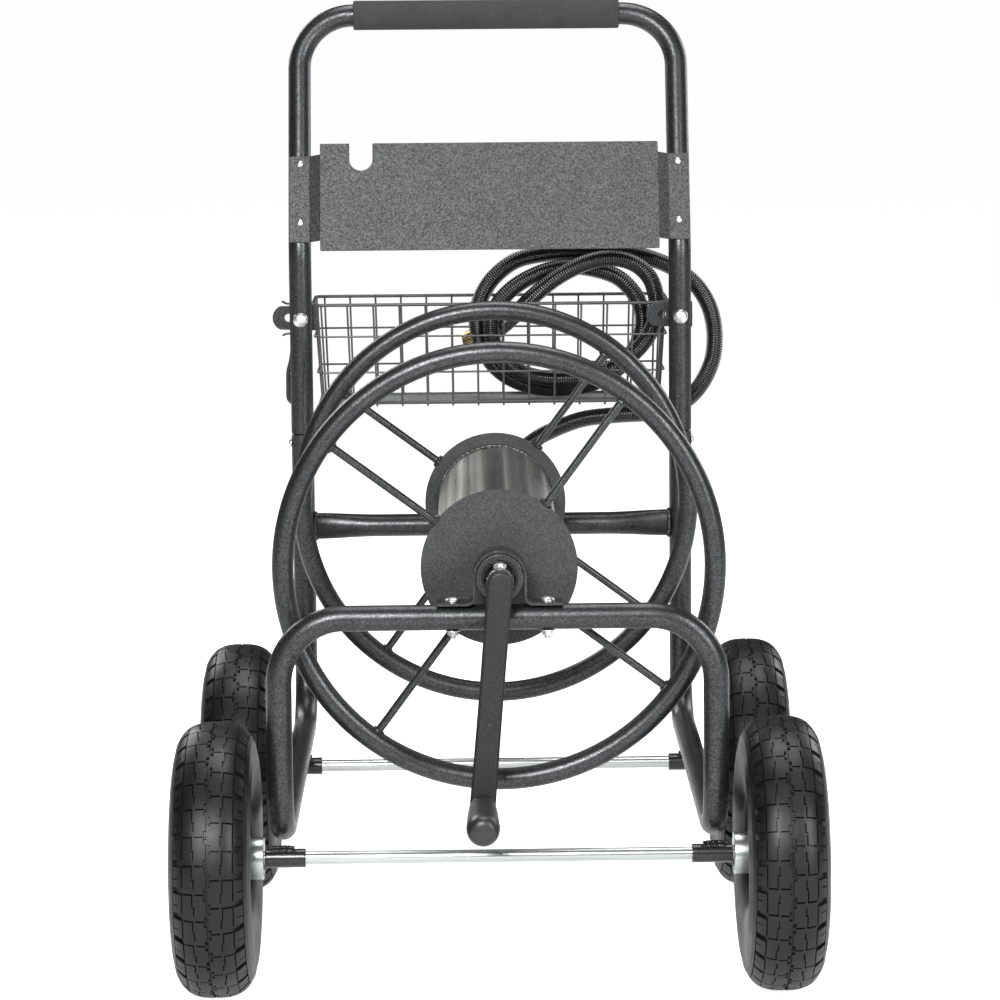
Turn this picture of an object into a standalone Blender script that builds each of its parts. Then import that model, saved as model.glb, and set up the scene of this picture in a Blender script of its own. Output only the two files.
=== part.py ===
"""Garden hose reel cart.

A four-wheeled tubular steel cart. A reel of two wire rings turns on a shaft that
runs front to back, between a low front hoop and the tall rear handle frame. A wire
basket and a short leader hose sit behind the handle frame.
+X is the cart's right, +Y its rear, +Z up. The ground is Z = 0. Units are metres.
"""
import math

import bmesh
import bpy
from mathutils import Matrix, Vector

# ---------------------------------------------------------------- dimensions
GAP = 0.0003                # running or resting gap between touching pieces

# Wheels (4.10/3.50-4 size)
AXLE_Z = 0.1335
TYRE_R = 0.1335
TYRE_HALF_W = 0.0390
TYRE_SEAT_R = 0.0500
TRACK_X = 0.2756            # wheel centre from the cart's middle
HUB_R = 0.0200
HUB_IN = 0.0460             # hub length inboard of the wheel centre
HUB_OUT = 0.0360            # hub length outboard of the wheel centre
AXLE_R = 0.00635
BORE_R = AXLE_R + GAP

# Stations along the cart, counted from the front axle
FRONT_AXLE_Y = -0.2502
REAR_AXLE_Y = FRONT_AXLE_Y + 0.3870
HOOP_Y = FRONT_AXLE_Y - 0.0170
UPRIGHT_Y = FRONT_AXLE_Y + 0.5350
RING_FRONT_Y = FRONT_AXLE_Y + 0.0276
RING_REAR_Y = FRONT_AXLE_Y + 0.4344

# Frame tube
TUBE_R = 0.0125
FRAME_X = 0.2116            # tube centre-lines from the middle
HOOP_Z = 0.3740             # hoop top and rear crossbar
HOOP_CORNER_R = 0.0640
BEND_R = 0.0600
SLEEVE_R = 0.0092
SLEEVE_IN_X = 0.1888
SLEEVE_OUT_X = 0.2285
RAIL_Z = AXLE_Z + SLEEVE_R + TUBE_R + GAP
LEG_SPLIT_Z = 0.2300        # weld between front hoop and side tubes
JOINT_Z = 0.4790            # top of the side tubes, foot of the handle tube

# Handle, tilted back above the kink
KINK_Z = 0.6850
TILT = math.radians(17.0)
HANDLE_TOP_Z = 0.9430
HANDLE_CORNER_R = 0.0600
FOAM_R = 0.0165
FOAM_X = (-0.1510, 0.1480)

# Tool panel
PANEL_HALF_W = 0.1880
PANEL_LOW_Z = 0.6790
PANEL_H = 0.1220
PANEL_T = 0.0015
PANEL_STEP = 0.0090         # the face stands this far in front of its end tabs
TAB_OUT_X = 0.2225
TAB_IN_X = 0.2000
TAB_H = 0.0980
NOTCH_X = -0.1425
NOTCH_R = 0.0128
NOTCH_DEPTH = 0.0310
PANEL_SCREWS = (0.0340, 0.1010)

# Reel
REEL_X = 0.0028
REEL_Z = 0.4146
RING_R = 0.2111
RING_TUBE_R = 0.0106
DISC_R = 0.0768
DISC_T = 0.0040
DRUM_R = 0.0622
DRUM_WALL = 0.0020
SPOKE_R = 0.0040
SPOKE_ANGLE = math.radians(53.4)
SHAFT_R = 0.0122
CRANK_Y = FRONT_AXLE_Y - 0.0600
CRANK_T = 0.0120
CRANK_HALF_W = 0.0125
CRANK_LENGTH = 0.2180
CRANK_SWING = math.radians(4.9)
GRIP_R = 0.0160
GRIP_LENGTH = 0.0950

# Bearings on the hoop and on the crossbar
BEARING_R = 0.0230
BEARING_BORE_R = 0.0155
BEARING_LENGTH = 0.0300
STRAP_T = 0.0028
STRAP_W = 0.0250
STRAP_HALF_SPAN = 0.0610
STRAP_BOLT_X = 0.0455

# Basket
BASKET_FRONT_Y = UPRIGHT_Y + 0.0175
BASKET_DEPTH_TOP = 0.1080
BASKET_DEPTH_LOW = 0.0760
BASKET_HALF_W_TOP = 0.2010
BASKET_HALF_W_LOW = 0.1930
BASKET_TOP_Z = 0.6230
BASKET_LOW_Z = 0.5095
BASKET_FLOOR_T = 0.0020
BASKET_WIRE = 0.0030
BASKET_BAYS = 14
BASKET_SIDE_BAYS = 4
BASKET_ROWS = (0.5855, 0.5450)
BOLT_Z = 0.6080
BRACKET_T = 0.0030
BRACKET_W = 0.0490
BRACKET_H = 0.0290

# Leader hose
HOSE_R = 0.0095
HOSE_STEP = 0.0240
ELBOW_Y = UPRIGHT_Y + 0.0390
ELBOW_TURN = math.radians(50.0)
ELBOW_REACH = 0.0340
# way-points: across, behind the elbow, and up
HOSE_WAY = (
    # rising gently under the basket floor
    (0.0600, 0.0000, 0.4700), (0.1000, 0.0000, 0.4860), (0.1400, 0.0005, 0.4910),
    (0.1770, 0.0015, 0.4930), (0.2080, 0.0030, 0.4995),
    # the arch outside the basket's right end
    (0.2325, 0.0060, 0.5170), (0.2495, 0.0100, 0.5460), (0.2545, 0.0140, 0.5760),
    (0.2505, 0.0185, 0.6060), (0.2380, 0.0235, 0.6310), (0.2210, 0.0280, 0.6475),
    (0.1990, 0.0310, 0.6600), (0.1690, 0.0330, 0.6700),
    # first turn, at the back
    (0.1350, 0.0320, 0.6740), (0.1010, 0.0295, 0.6740), (0.0660, 0.0275, 0.6730),
    (0.0310, 0.0250, 0.6660), (0.0060, 0.0225, 0.6485), (-0.0090, 0.0200, 0.6270),
    (-0.0150, 0.0185, 0.6055), (-0.0135, 0.0180, 0.5820), (-0.0030, 0.0180, 0.5560),
    (0.0170, 0.0180, 0.5355), (0.0480, 0.0185, 0.5225), (0.0850, 0.0185, 0.5205),
    (0.1180, 0.0175, 0.5265), (0.1460, 0.0160, 0.5440), (0.1640, 0.0140, 0.5660),
    (0.1720, 0.0130, 0.5890), (0.1710, 0.0125, 0.6110), (0.1610, 0.0125, 0.6310),
    (0.1400, 0.0125, 0.6490),
    # second turn, in front of it
    (0.1010, 0.0125, 0.6590), (0.0660, 0.0115, 0.6555), (0.0340, 0.0090, 0.6415),
    (0.0120, 0.0060, 0.6225), (0.0020, 0.0040, 0.6020), (0.0020, 0.0030, 0.5800),
    (0.0120, 0.0020, 0.5580), (0.0320, 0.0010, 0.5420), (0.0600, 0.0000, 0.5340),
    (0.0900, -0.0020, 0.5335), (0.1200, -0.0040, 0.5385), (0.1480, -0.0055, 0.5515),
    (0.1700, -0.0060, 0.5710), (0.1830, -0.0060, 0.5920), (0.1875, -0.0060, 0.6120),
    (0.1860, -0.0065, 0.6310), (0.1795, -0.0075, 0.6480), (0.1670, -0.0085, 0.6610),
    (0.1500, -0.0090, 0.6685), (0.1300, -0.0090, 0.6700), (0.1060, -0.0090, 0.6645),
    # the free end goes down through the loops and behind them
    (0.0770, -0.0085, 0.6500), (0.0530, -0.0040, 0.6315), (0.0350, 0.0060, 0.6130),
    (0.0210, 0.0180, 0.5980), (0.0085, 0.0290, 0.5870), (-0.0050, 0.0375, 0.5805),
)

# ---------------------------------------------------------------- set-up
for old in list(bpy.data.objects):
    bpy.data.objects.remove(old, do_unlink=True)

parts = bpy.data.collections.new("hose_reel_cart")
cutters = bpy.data.collections.new("cutters")
bpy.context.scene.collection.children.link(parts)
bpy.context.scene.collection.children.link(cutters)


def material(name, colour, roughness, metallic):
    mat = bpy.data.materials.new(name)
    mat.use_nodes = True
    shader = mat.node_tree.nodes["Principled BSDF"]
    shader.inputs["Base Color"].default_value = (*colour, 1.0)
    shader.inputs["Roughness"].default_value = roughness
    shader.inputs["Metallic"].default_value = metallic
    return mat


HAMMERTONE = material("hammertone", (0.085, 0.092, 0.098), 0.42, 0.55)
ZINC = material("zinc", (0.70, 0.73, 0.73), 0.28, 1.0)
BARE_STEEL = material("bare_steel", (0.42, 0.43, 0.43), 0.30, 1.0)
RUBBER = material("tyre_rubber", (0.022, 0.023, 0.024), 0.62, 0.0)
FOAM = material("foam", (0.060, 0.064, 0.067), 0.85, 0.0)
HOSE_RUBBER = material("hose_rubber", (0.018, 0.018, 0.018), 0.40, 0.0)
BRASS = material("brass", (0.74, 0.56, 0.22), 0.25, 1.0)
BASKET_WIRE_PAINT = material("basket_wire", (0.10, 0.105, 0.11), 0.45, 0.4)
GRIP_PLASTIC = material("grip_plastic", (0.035, 0.037, 0.040), 0.38, 0.0)
RIM_STEEL = material("rim_steel", (0.62, 0.63, 0.63), 0.38, 0.8)


# ---------------------------------------------------------------- helpers
def place(obj, mat, collection=parts):
    """Files an object in its collection and gives it its material."""
    for held in list(obj.users_collection):
        held.objects.unlink(obj)
    collection.objects.link(obj)
    if obj.type in {"MESH", "CURVE"} and mat is not None:
        obj.data.materials.clear()
        obj.data.materials.append(mat)
    return obj


def empty(name, location):
    """A pivot on a joint's axis."""
    pivot = bpy.data.objects.new(name, None)
    pivot.location = location
    pivot.empty_display_size = 0.03
    parts.objects.link(pivot)
    return pivot


def hang(obj, pivot):
    """Parents an object to a pivot without moving it in the world."""
    obj.parent = pivot
    obj.matrix_parent_inverse = Matrix.Translation(pivot.location).inverted()


def fillet(points, radii, steps=7):
    """Rounds the corners of a path; radii holds one radius for each inner point."""
    path = [Vector(points[0])]
    for i, radius in enumerate(radii, start=1):
        corner = Vector(points[i])
        a = (Vector(points[i - 1]) - corner).normalized()
        b = (Vector(points[i + 1]) - corner).normalized()
        half = a.angle(b) / 2
        centre = corner + (a + b).normalized() * radius / math.sin(half)
        start = corner + a * radius / math.tan(half)
        spin = (start - centre).cross(corner + b * radius / math.tan(half) - centre).normalized()
        turn = math.pi - 2 * half
        for k in range(steps + 1):
            path.append(centre + Matrix.Rotation(turn * k / steps, 3, spin) @ (start - centre))
    path.append(Vector(points[-1]))
    return path


def tube(name, points, radius, mat, sides=12):
    """A round bar or tube along a path, with closed ends."""
    curve = bpy.data.curves.new(name, "CURVE")
    curve.dimensions = "3D"
    curve.bevel_depth = radius
    curve.bevel_resolution = (sides - 4) // 2
    curve.use_fill_caps = True
    spline = curve.splines.new("POLY")
    spline.points.add(len(points) - 1)
    for point, position in zip(spline.points, points):
        point.co = (*position, 1.0)
    spline.use_smooth = True
    return place(bpy.data.objects.new(name, curve), mat)


def axis_turn(axis):
    """Rotation that takes the local Z axis to a world axis."""
    return {"X": (0, math.pi / 2, 0), "Y": (-math.pi / 2, 0, 0), "Z": (0, 0, 0)}[axis]


def cylinder(name, radius, length, centre, axis, mat, sides=24, collection=parts):
    bpy.ops.mesh.primitive_cylinder_add(
        vertices=sides, radius=radius, depth=length, location=centre, rotation=axis_turn(axis)
    )
    obj = bpy.context.object
    obj.name = name
    obj.data.shade_smooth()
    obj.data.set_sharp_from_angle(angle=math.radians(40))
    return place(obj, mat, collection)


def box(name, size, centre, mat, collection=parts):
    mesh = bpy.data.meshes.new(name)
    form = bmesh.new()
    bmesh.ops.create_cube(form, size=1.0, matrix=Matrix.Diagonal((*size, 1.0)))
    form.to_mesh(mesh)
    form.free()
    obj = bpy.data.objects.new(name, mesh)
    obj.location = centre
    return place(obj, mat, collection)


def turned(name, profile, centre, axis, mat, sides=24, flip=False):
    """A turned piece: a closed profile of (radius, height) points, top to bottom outside."""
    mesh = bpy.data.meshes.new(name)
    form = bmesh.new()
    verts = [form.verts.new((r, 0.0, z)) for r, z in profile]
    for i, vert in enumerate(verts):
        form.edges.new((vert, verts[(i + 1) % len(verts)]))
    form.to_mesh(mesh)
    form.free()
    obj = bpy.data.objects.new(name, mesh)
    screw = obj.modifiers.new("turn", "SCREW")
    screw.angle = 2 * math.pi
    screw.steps = sides
    screw.render_steps = sides
    screw.use_merge_vertices = True
    screw.merge_threshold = 0.00005
    screw.use_smooth_shade = True
    obj.location = centre
    obj.rotation_euler = axis_turn(axis)
    if flip:
        obj.rotation_euler = (0, -math.pi / 2, 0)
    return place(obj, mat)


def plate(name, outlines, thickness, mat, collection=parts):
    """A flat plate: closed outlines in the local XY plane, the first outside, others holes."""
    curve = bpy.data.curves.new(name, "CURVE")
    curve.dimensions = "2D"
    curve.fill_mode = "BOTH"
    curve.extrude = thickness / 2
    for outline in outlines:
        spline = curve.splines.new("POLY")
        spline.points.add(len(outline) - 1)
        for point, (x, y) in zip(spline.points, outline):
            point.co = (x, y, 0.0, 1.0)
        spline.use_cyclic_u = True
    return place(bpy.data.objects.new(name, curve), mat, collection)


def as_mesh(obj):
    """The mesh of a curve object, in place of it and where it stands."""
    bpy.context.view_layer.update()
    name = obj.name
    evaluated = obj.evaluated_get(bpy.context.evaluated_depsgraph_get())
    mesh = bpy.data.meshes.new_from_object(evaluated)
    form = bmesh.new()
    form.from_mesh(mesh)
    bmesh.ops.remove_doubles(form, verts=form.verts, dist=0.00001)
    form.to_mesh(mesh)
    form.free()
    made = bpy.data.objects.new(name + "_mesh", mesh)
    made.matrix_world = obj.matrix_world.copy()
    bpy.data.objects.remove(obj, do_unlink=True)
    made.name = name
    return place(made, None)


def join(obj, others, operation="UNION"):
    """Joins other meshes to an object, or cuts them out of it."""
    for other in others:
        for held in list(other.users_collection):
            held.objects.unlink(other)
        cutters.objects.link(other)
        other.display_type = "WIRE"
        other.hide_render = True
        boolean = obj.modifiers.new(other.name, "BOOLEAN")
        boolean.operation = operation
        boolean.object = other
    return obj


def arc(cx, cy, radius, start, end, steps):
    """Points (x, y) on an arc, angles in degrees."""
    turn = [math.radians(start + (end - start) * k / steps) for k in range(steps + 1)]
    return [(cx + radius * math.cos(a), cy + radius * math.sin(a)) for a in turn]


# ---------------------------------------------------------------- frame
def front_hoop():
    """The low hoop that carries the front bearing, down to the welds on its legs."""
    low = LEG_SPLIT_Z + GAP
    path = fillet(
        [
            (-FRAME_X, HOOP_Y, low),
            (-FRAME_X, HOOP_Y, HOOP_Z),
            (FRAME_X, HOOP_Y, HOOP_Z),
            (FRAME_X, HOOP_Y, low),
        ],
        [HOOP_CORNER_R, HOOP_CORNER_R],
    )
    tube("front_hoop", path, TUBE_R, HAMMERTONE)


def side_tube(name, x):
    """A leg that bends back into the rail under the reel and up into the rear upright."""
    path = fillet(
        [
            (x, HOOP_Y, LEG_SPLIT_Z),
            (x, HOOP_Y, RAIL_Z),
            (x, UPRIGHT_Y, RAIL_Z),
            (x, UPRIGHT_Y, JOINT_Z),
        ],
        [BEND_R, BEND_R],
    )
    tube(name, path, TUBE_R, HAMMERTONE)


def tilted(height, forward=0.0, x=0.0):
    """A point on the tilted part: height along the slope above the kink, forward of its axis."""
    y = UPRIGHT_Y + height * math.sin(TILT) - forward * math.cos(TILT)
    z = KINK_Z + height * math.cos(TILT) + forward * math.sin(TILT)
    return Vector((x, y, z))


def handle_tube():
    rise = (HANDLE_TOP_Z - KINK_Z) / math.cos(TILT)
    low = JOINT_Z + GAP
    path = fillet(
        [
            (-FRAME_X, UPRIGHT_Y, low),
            (-FRAME_X, UPRIGHT_Y, KINK_Z),
            tilted(rise, 0.0, -FRAME_X),
            tilted(rise, 0.0, FRAME_X),
            (FRAME_X, UPRIGHT_Y, KINK_Z),
            (FRAME_X, UPRIGHT_Y, low),
        ],
        [0.08, HANDLE_CORNER_R, HANDLE_CORNER_R, 0.08],
        5,
    )
    tube("handle_tube", path, TUBE_R, HAMMERTONE)
    top = tilted(rise)
    bore = TUBE_R + GAP
    half = (FOAM_X[1] - FOAM_X[0]) / 2
    turned(
        "handle_foam_grip",
        [(FOAM_R - 0.001, half), (FOAM_R, half - 0.001), (FOAM_R, 0.001 - half),
         (FOAM_R - 0.001, -half), (bore, -half), (bore, half)],
        ((FOAM_X[0] + FOAM_X[1]) / 2, top.y, top.z),
        "X",
        FOAM,
    )


def rear_crossbar():
    """The bar between the uprights that carries the rear bearing."""
    reach = FRAME_X - TUBE_R - GAP
    cylinder("rear_crossbar", TUBE_R, 2 * reach, (0, UPRIGHT_Y, HOOP_Z), "X", HAMMERTONE, 16)


def sleeve(name, side, y):
    length = SLEEVE_OUT_X - SLEEVE_IN_X
    centre = (side * (SLEEVE_OUT_X + SLEEVE_IN_X) / 2, y, AXLE_Z)
    half = length / 2
    profile = [(SLEEVE_R, half), (SLEEVE_R, -half), (BORE_R, -half), (BORE_R, half)]
    turned(name, profile, centre, "X", HAMMERTONE, 20)


def tool_panel():
    """A sheet with a tool notch, stepped forward of the tabs that lie on the tubes."""
    middle = (PANEL_LOW_Z - KINK_Z) / math.cos(TILT) + PANEL_H / 2
    face_forward = TUBE_R + GAP + PANEL_STEP + PANEL_T / 2
    half = PANEL_H / 2
    notch_low = half - NOTCH_DEPTH + NOTCH_R
    outline = [(-PANEL_HALF_W, half), (-PANEL_HALF_W, -half)]
    outline += [(PANEL_HALF_W, -half), (PANEL_HALF_W, half), (NOTCH_X + NOTCH_R, half)]
    outline += arc(NOTCH_X, notch_low, NOTCH_R, 0, -180, 10)
    outline += [(NOTCH_X - NOTCH_R, half)]
    face = plate("tool_panel", [outline], PANEL_T, HAMMERTONE)
    face.location = tilted(middle, face_forward)
    face.rotation_euler = (math.pi / 2 - TILT, 0, 0)
    face = as_mesh(face)
    face.data.materials.clear()
    face.data.materials.append(HAMMERTONE)
    joined = []
    tab_forward = TUBE_R + GAP + PANEL_T / 2
    for side in (-1, 1):
        # tab and inclined web as one bent strip, seen from above
        web = [
            (side * TAB_OUT_X, tab_forward - PANEL_T / 2),
            (side * TAB_OUT_X, tab_forward + PANEL_T / 2),
            (side * TAB_IN_X, tab_forward + PANEL_T / 2),
            (side * (PANEL_HALF_W - 0.0005), face_forward + PANEL_T / 4),
            (side * (PANEL_HALF_W - 0.0030), face_forward - PANEL_T / 4),
            (side * (TAB_IN_X - 0.0010), tab_forward - PANEL_T / 2),
        ]
        strip = plate("panel_end", [[(x, -f) for x, f in web]], TAB_H, HAMMERTONE)
        strip.location = tilted(middle)
        strip.rotation_euler = (-TILT, 0, 0)
        joined.append(as_mesh(strip))
    join(face, joined)
    for side in (-1, 1):
        for k, up in enumerate(PANEL_SCREWS, start=1):
            spot = tilted(
                (PANEL_LOW_Z - KINK_Z) / math.cos(TILT) + up,
                TUBE_R + PANEL_T + 2 * GAP + 0.0012,
                side * 0.2105,
            )
            name = "panel_screw_" + ("left" if side < 0 else "right") + "_" + str(k)
            screw = cylinder(name, 0.0038, 0.0024, spot, "Z", ZINC, 16)
            screw.rotation_euler = (math.pi / 2 - TILT, 0, 0)


def bolt(name, x, y, z, axis, radius, height, sign, mat=ZINC):
    """A domed bolt head whose base rests at the given point; sign is its pointing way."""
    mesh = bpy.data.meshes.new(name)
    form = bmesh.new()
    bmesh.ops.create_cone(
        form, cap_ends=True, segments=12, radius1=radius, radius2=radius * 0.55, depth=height,
        matrix=Matrix.Translation((0, 0, height / 2)),
    )
    form.to_mesh(mesh)
    form.free()
    obj = bpy.data.objects.new(name, mesh)
    ways = {
        ("Y", -1): (math.pi / 2, 0, 0), ("X", 1): (0, math.pi / 2, 0),
        ("X", -1): (0, -math.pi / 2, 0), ("Z", 1): (0, 0, 0),
    }
    obj.rotation_euler = ways[(axis, sign)]
    obj.location = (x, y, z)
    return place(obj, mat)


# ---------------------------------------------------------------- bearings
def bearing(where, y):
    """A bearing tube in an omega strap that is bolted down on a cross tube."""
    base = HOOP_Z + TUBE_R + GAP
    half = BEARING_LENGTH / 2
    profile = [(BEARING_R, half), (BEARING_R, -half), (BEARING_BORE_R, -half)]
    profile += [(BEARING_BORE_R, half)]
    turned("bearing_" + where, profile, (REEL_X, y, REEL_Z), "Y", HAMMERTONE, 28)
    inner = BEARING_R + GAP
    outer = inner + STRAP_T
    foot = base - REEL_Z
    bend = 0.006
    right_inner = arc(outer + bend, foot + STRAP_T + bend, bend + STRAP_T, 180, 270, 4)
    right_outer = arc(outer + bend, foot + STRAP_T + bend, bend, 180, 270, 4)
    outline = arc(0, 0, outer, 0, 180, 14)
    outline += [(-x, z) for x, z in right_outer]
    outline += [(-STRAP_HALF_SPAN, foot + STRAP_T), (-STRAP_HALF_SPAN, foot)]
    outline += [(-x, z) for x, z in reversed(right_inner)]
    outline += arc(0, 0, inner, 180, 0, 14)
    outline += right_inner
    outline += [(STRAP_HALF_SPAN, foot), (STRAP_HALF_SPAN, foot + STRAP_T)]
    outline += list(reversed(right_outer))
    strap = plate("bearing_strap_" + where, [outline], STRAP_W, HAMMERTONE)
    strap.location = (REEL_X, y, REEL_Z)
    strap.rotation_euler = (math.pi / 2, 0, 0)
    for side, word in ((-1, "left"), (1, "right")):
        bolt(
            "strap_bolt_" + where + "_" + word,
            REEL_X + side * STRAP_BOLT_X, y, base + STRAP_T + GAP, "Z", 0.0070, 0.0042, 1,
        )


# ---------------------------------------------------------------- wheels
def tyre_profile():
    """Half-round tread and side walls down to the beads, as (radius, offset) points."""
    crown = 0.0450
    points = []
    for k in range(9):
        a = math.pi / 2 * (1 - k / 4)
        c, s = math.cos(a), math.sin(a)
        r = TYRE_R - crown + crown * abs(c) ** (2 / 2.83)
        z = TYRE_HALF_W * math.copysign(abs(s) ** (2 / 2.83), s)
        points.append((r, z))
    points.append((0.0640, -0.0330))
    points.append((TYRE_SEAT_R, -0.0270))
    points.append((TYRE_SEAT_R, 0.0270))
    points.append((0.0640, 0.0330))
    return points


def rim_profile():
    """Hub, web and tyre channel in one, with the bore; +height is outboard."""
    seat = TYRE_SEAT_R - GAP
    return [
        (HUB_R, HUB_OUT), (HUB_R, 0.0020), (seat - 0.0050, 0.0020), (seat - 0.0050, 0.0266),
        (seat, 0.0266), (seat, -0.0266), (seat - 0.0050, -0.0266), (seat - 0.0050, -0.0020),
        (HUB_R, -0.0020), (HUB_R, -HUB_IN), (BORE_R, -HUB_IN), (BORE_R, HUB_OUT),
    ]


def wheel(word, side, y):
    x = side * TRACK_X
    pivot = empty("wheel_pivot_" + word, (x, y, AXLE_Z))
    hang(turned("tyre_" + word, tyre_profile(), (x, y, AXLE_Z), "X", RUBBER, 36), pivot)
    rim = turned("rim_" + word, rim_profile(), (x, y, AXLE_Z), "X", RIM_STEEL, 24, side < 0)
    hang(rim, pivot)
    nut = bpy.data.meshes.new("axle_nut")
    form = bmesh.new()
    bmesh.ops.create_cone(
        form, cap_ends=True, segments=6, radius1=0.0105, radius2=0.0105, depth=0.0090
    )
    form.to_mesh(nut)
    form.free()
    holder = bpy.data.objects.new("axle_nut_" + word, nut)
    holder.rotation_euler = (0, math.pi / 2, 0)
    holder.location = (side * (TRACK_X + HUB_OUT + 0.0006 + 0.0045), y, AXLE_Z)
    place(holder, ZINC)


def axle(name, y):
    """A plain rod through both sleeves and wheels, up to the nuts on its ends."""
    reach = TRACK_X + HUB_OUT + GAP
    cylinder(name, AXLE_R, 2 * reach, (0, y, AXLE_Z), "X", ZINC, 16)


# ---------------------------------------------------------------- reel
def ring(name, y, pivot):
    """A wire ring with its four spokes, which end at the edge of the disc."""
    bpy.ops.mesh.primitive_torus_add(
        major_segments=48, minor_segments=8, major_radius=RING_R, minor_radius=RING_TUBE_R,
        location=(REEL_X, y, REEL_Z), rotation=(math.pi / 2, 0, 0),
    )
    hoop = bpy.context.object
    hoop.name = name
    hoop.data.shade_smooth()
    place(hoop, HAMMERTONE)
    spokes = []
    start = DISC_R + GAP
    for k in range(4):
        a = SPOKE_ANGLE + k * math.pi / 2
        way = Vector((math.cos(a), 0, math.sin(a)))
        middle = Vector((REEL_X, y, REEL_Z)) + way * (start + RING_R) / 2
        spoke = cylinder(
            name + "_spoke", SPOKE_R, RING_R - start, middle, "Z", HAMMERTONE, 8
        )
        spoke.rotation_euler = (0, math.pi / 2 - a, 0)
        spokes.append(spoke)
    join(hoop, spokes)
    hang(hoop, pivot)


def disc(name, y, pivot):
    half = DISC_T / 2
    bore = SHAFT_R + GAP
    profile = [(DISC_R, half), (DISC_R, -half), (bore, -half), (bore, half)]
    hang(turned(name, profile, (REEL_X, y, REEL_Z), "Y", HAMMERTONE, 40), pivot)


def crank_arm(pivot):
    """A flat bar with round ends, hanging a little to the left of straight down."""
    outline = arc(0, 0, CRANK_HALF_W, 0, 180, 8)
    outline += arc(0, -CRANK_LENGTH, CRANK_HALF_W, 180, 360, 8)
    arm = plate("crank_arm", [outline], CRANK_T, HAMMERTONE)
    arm.location = (REEL_X, CRANK_Y, REEL_Z)
    arm.rotation_euler = (math.pi / 2, CRANK_SWING, 0)
    hang(arm, pivot)


def reel():
    pivot = empty("reel_pivot", (REEL_X, RING_FRONT_Y, REEL_Z))
    ring("ring_front", RING_FRONT_Y, pivot)
    ring("ring_rear", RING_REAR_Y, pivot)
    disc("disc_front", RING_FRONT_Y, pivot)
    disc("disc_rear", RING_REAR_Y, pivot)
    drum_half = (RING_REAR_Y - RING_FRONT_Y) / 2 - DISC_T / 2 - GAP
    inside = DRUM_R - DRUM_WALL
    profile = [(DRUM_R, drum_half), (DRUM_R, -drum_half), (inside, -drum_half)]
    profile += [(inside, drum_half)]
    middle_y = (RING_REAR_Y + RING_FRONT_Y) / 2
    hang(turned("drum", profile, (REEL_X, middle_y, REEL_Z), "Y", BARE_STEEL, 36), pivot)
    front = CRANK_Y + CRANK_T / 2 + GAP
    back = UPRIGHT_Y + 0.0200
    shaft = cylinder(
        "reel_shaft", SHAFT_R, back - front, (REEL_X, (front + back) / 2, REEL_Z), "Y",
        HAMMERTONE, 24,
    )
    hang(shaft, pivot)
    crank_arm(pivot)
    socket_bolt = cylinder(
        "crank_bolt", 0.0062, 0.0045,
        (REEL_X, CRANK_Y + 0.0165, REEL_Z + SHAFT_R + GAP + 0.00225), "Z", ZINC, 12,
    )
    hang(socket_bolt, pivot)
    foot_x = REEL_X - CRANK_LENGTH * math.sin(CRANK_SWING)
    foot_z = REEL_Z - CRANK_LENGTH * math.cos(CRANK_SWING)
    grip_y = CRANK_Y - CRANK_T / 2 - GAP
    grip_pivot = empty("crank_grip_pivot", (foot_x, grip_y, foot_z))
    half = GRIP_LENGTH / 2
    mesh = bpy.data.meshes.new("crank_grip")
    form = bmesh.new()
    widths = [(-half, 0.0130), (-0.030, 0.0150), (0.0, 0.0152), (0.028, GRIP_R)]
    widths += [(0.040, 0.0146), (half, 0.0085)]
    profile = [form.verts.new((r, 0.0, z)) for z, r in reversed(widths)]
    top = form.verts.new((0.0, 0.0, half))
    low = form.verts.new((0.0, 0.0, -half))
    chain = [top, *profile, low]
    for a, b in zip(chain, chain[1:]):
        form.edges.new((a, b))
    form.to_mesh(mesh)
    form.free()
    grip = bpy.data.objects.new("crank_grip", mesh)
    screw = grip.modifiers.new("turn", "SCREW")
    screw.angle = 2 * math.pi
    screw.steps = 20
    screw.render_steps = 20
    screw.use_merge_vertices = True
    screw.merge_threshold = 0.00005
    screw.use_smooth_shade = True
    grip.rotation_euler = (math.pi / 2, 0, 0)
    grip.location = (foot_x, grip_y - half, foot_z)
    hang(place(grip, GRIP_PLASTIC), grip_pivot)


# ---------------------------------------------------------------- basket
def grille(name, low_half, high_half, rows, bays, height, mat):
    """A flat trapezoid of crossing wires; rows are heights of its inner wires."""
    bar = BASKET_WIRE / 2

    def half_at(h):
        return low_half + (high_half - low_half) * h / height

    outline = [(-low_half, 0), (low_half, 0), (high_half, height), (-high_half, height)]
    outlines = [outline]
    levels = [0.0] + list(rows) + [height]
    for a, b in zip(levels, levels[1:]):
        low = a + (BASKET_WIRE if a == 0 else bar)
        high = b - (BASKET_WIRE if b == height else bar)
        for k in range(bays):
            corners = []
            for h, step in ((low, 0), (low, 1), (high, 1), (high, 0)):
                reach = half_at(h) - BASKET_WIRE
                x = -reach + 2 * reach * (k + step) / bays
                edge = (k == 0 and step == 0) or (k == bays - 1 and step == 1)
                inset = 0.0 if edge else (bar if step == 0 else -bar)
                corners.append((x + inset, h))
            outlines.append(corners)
    return plate(name, outlines, BASKET_WIRE, mat)


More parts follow.
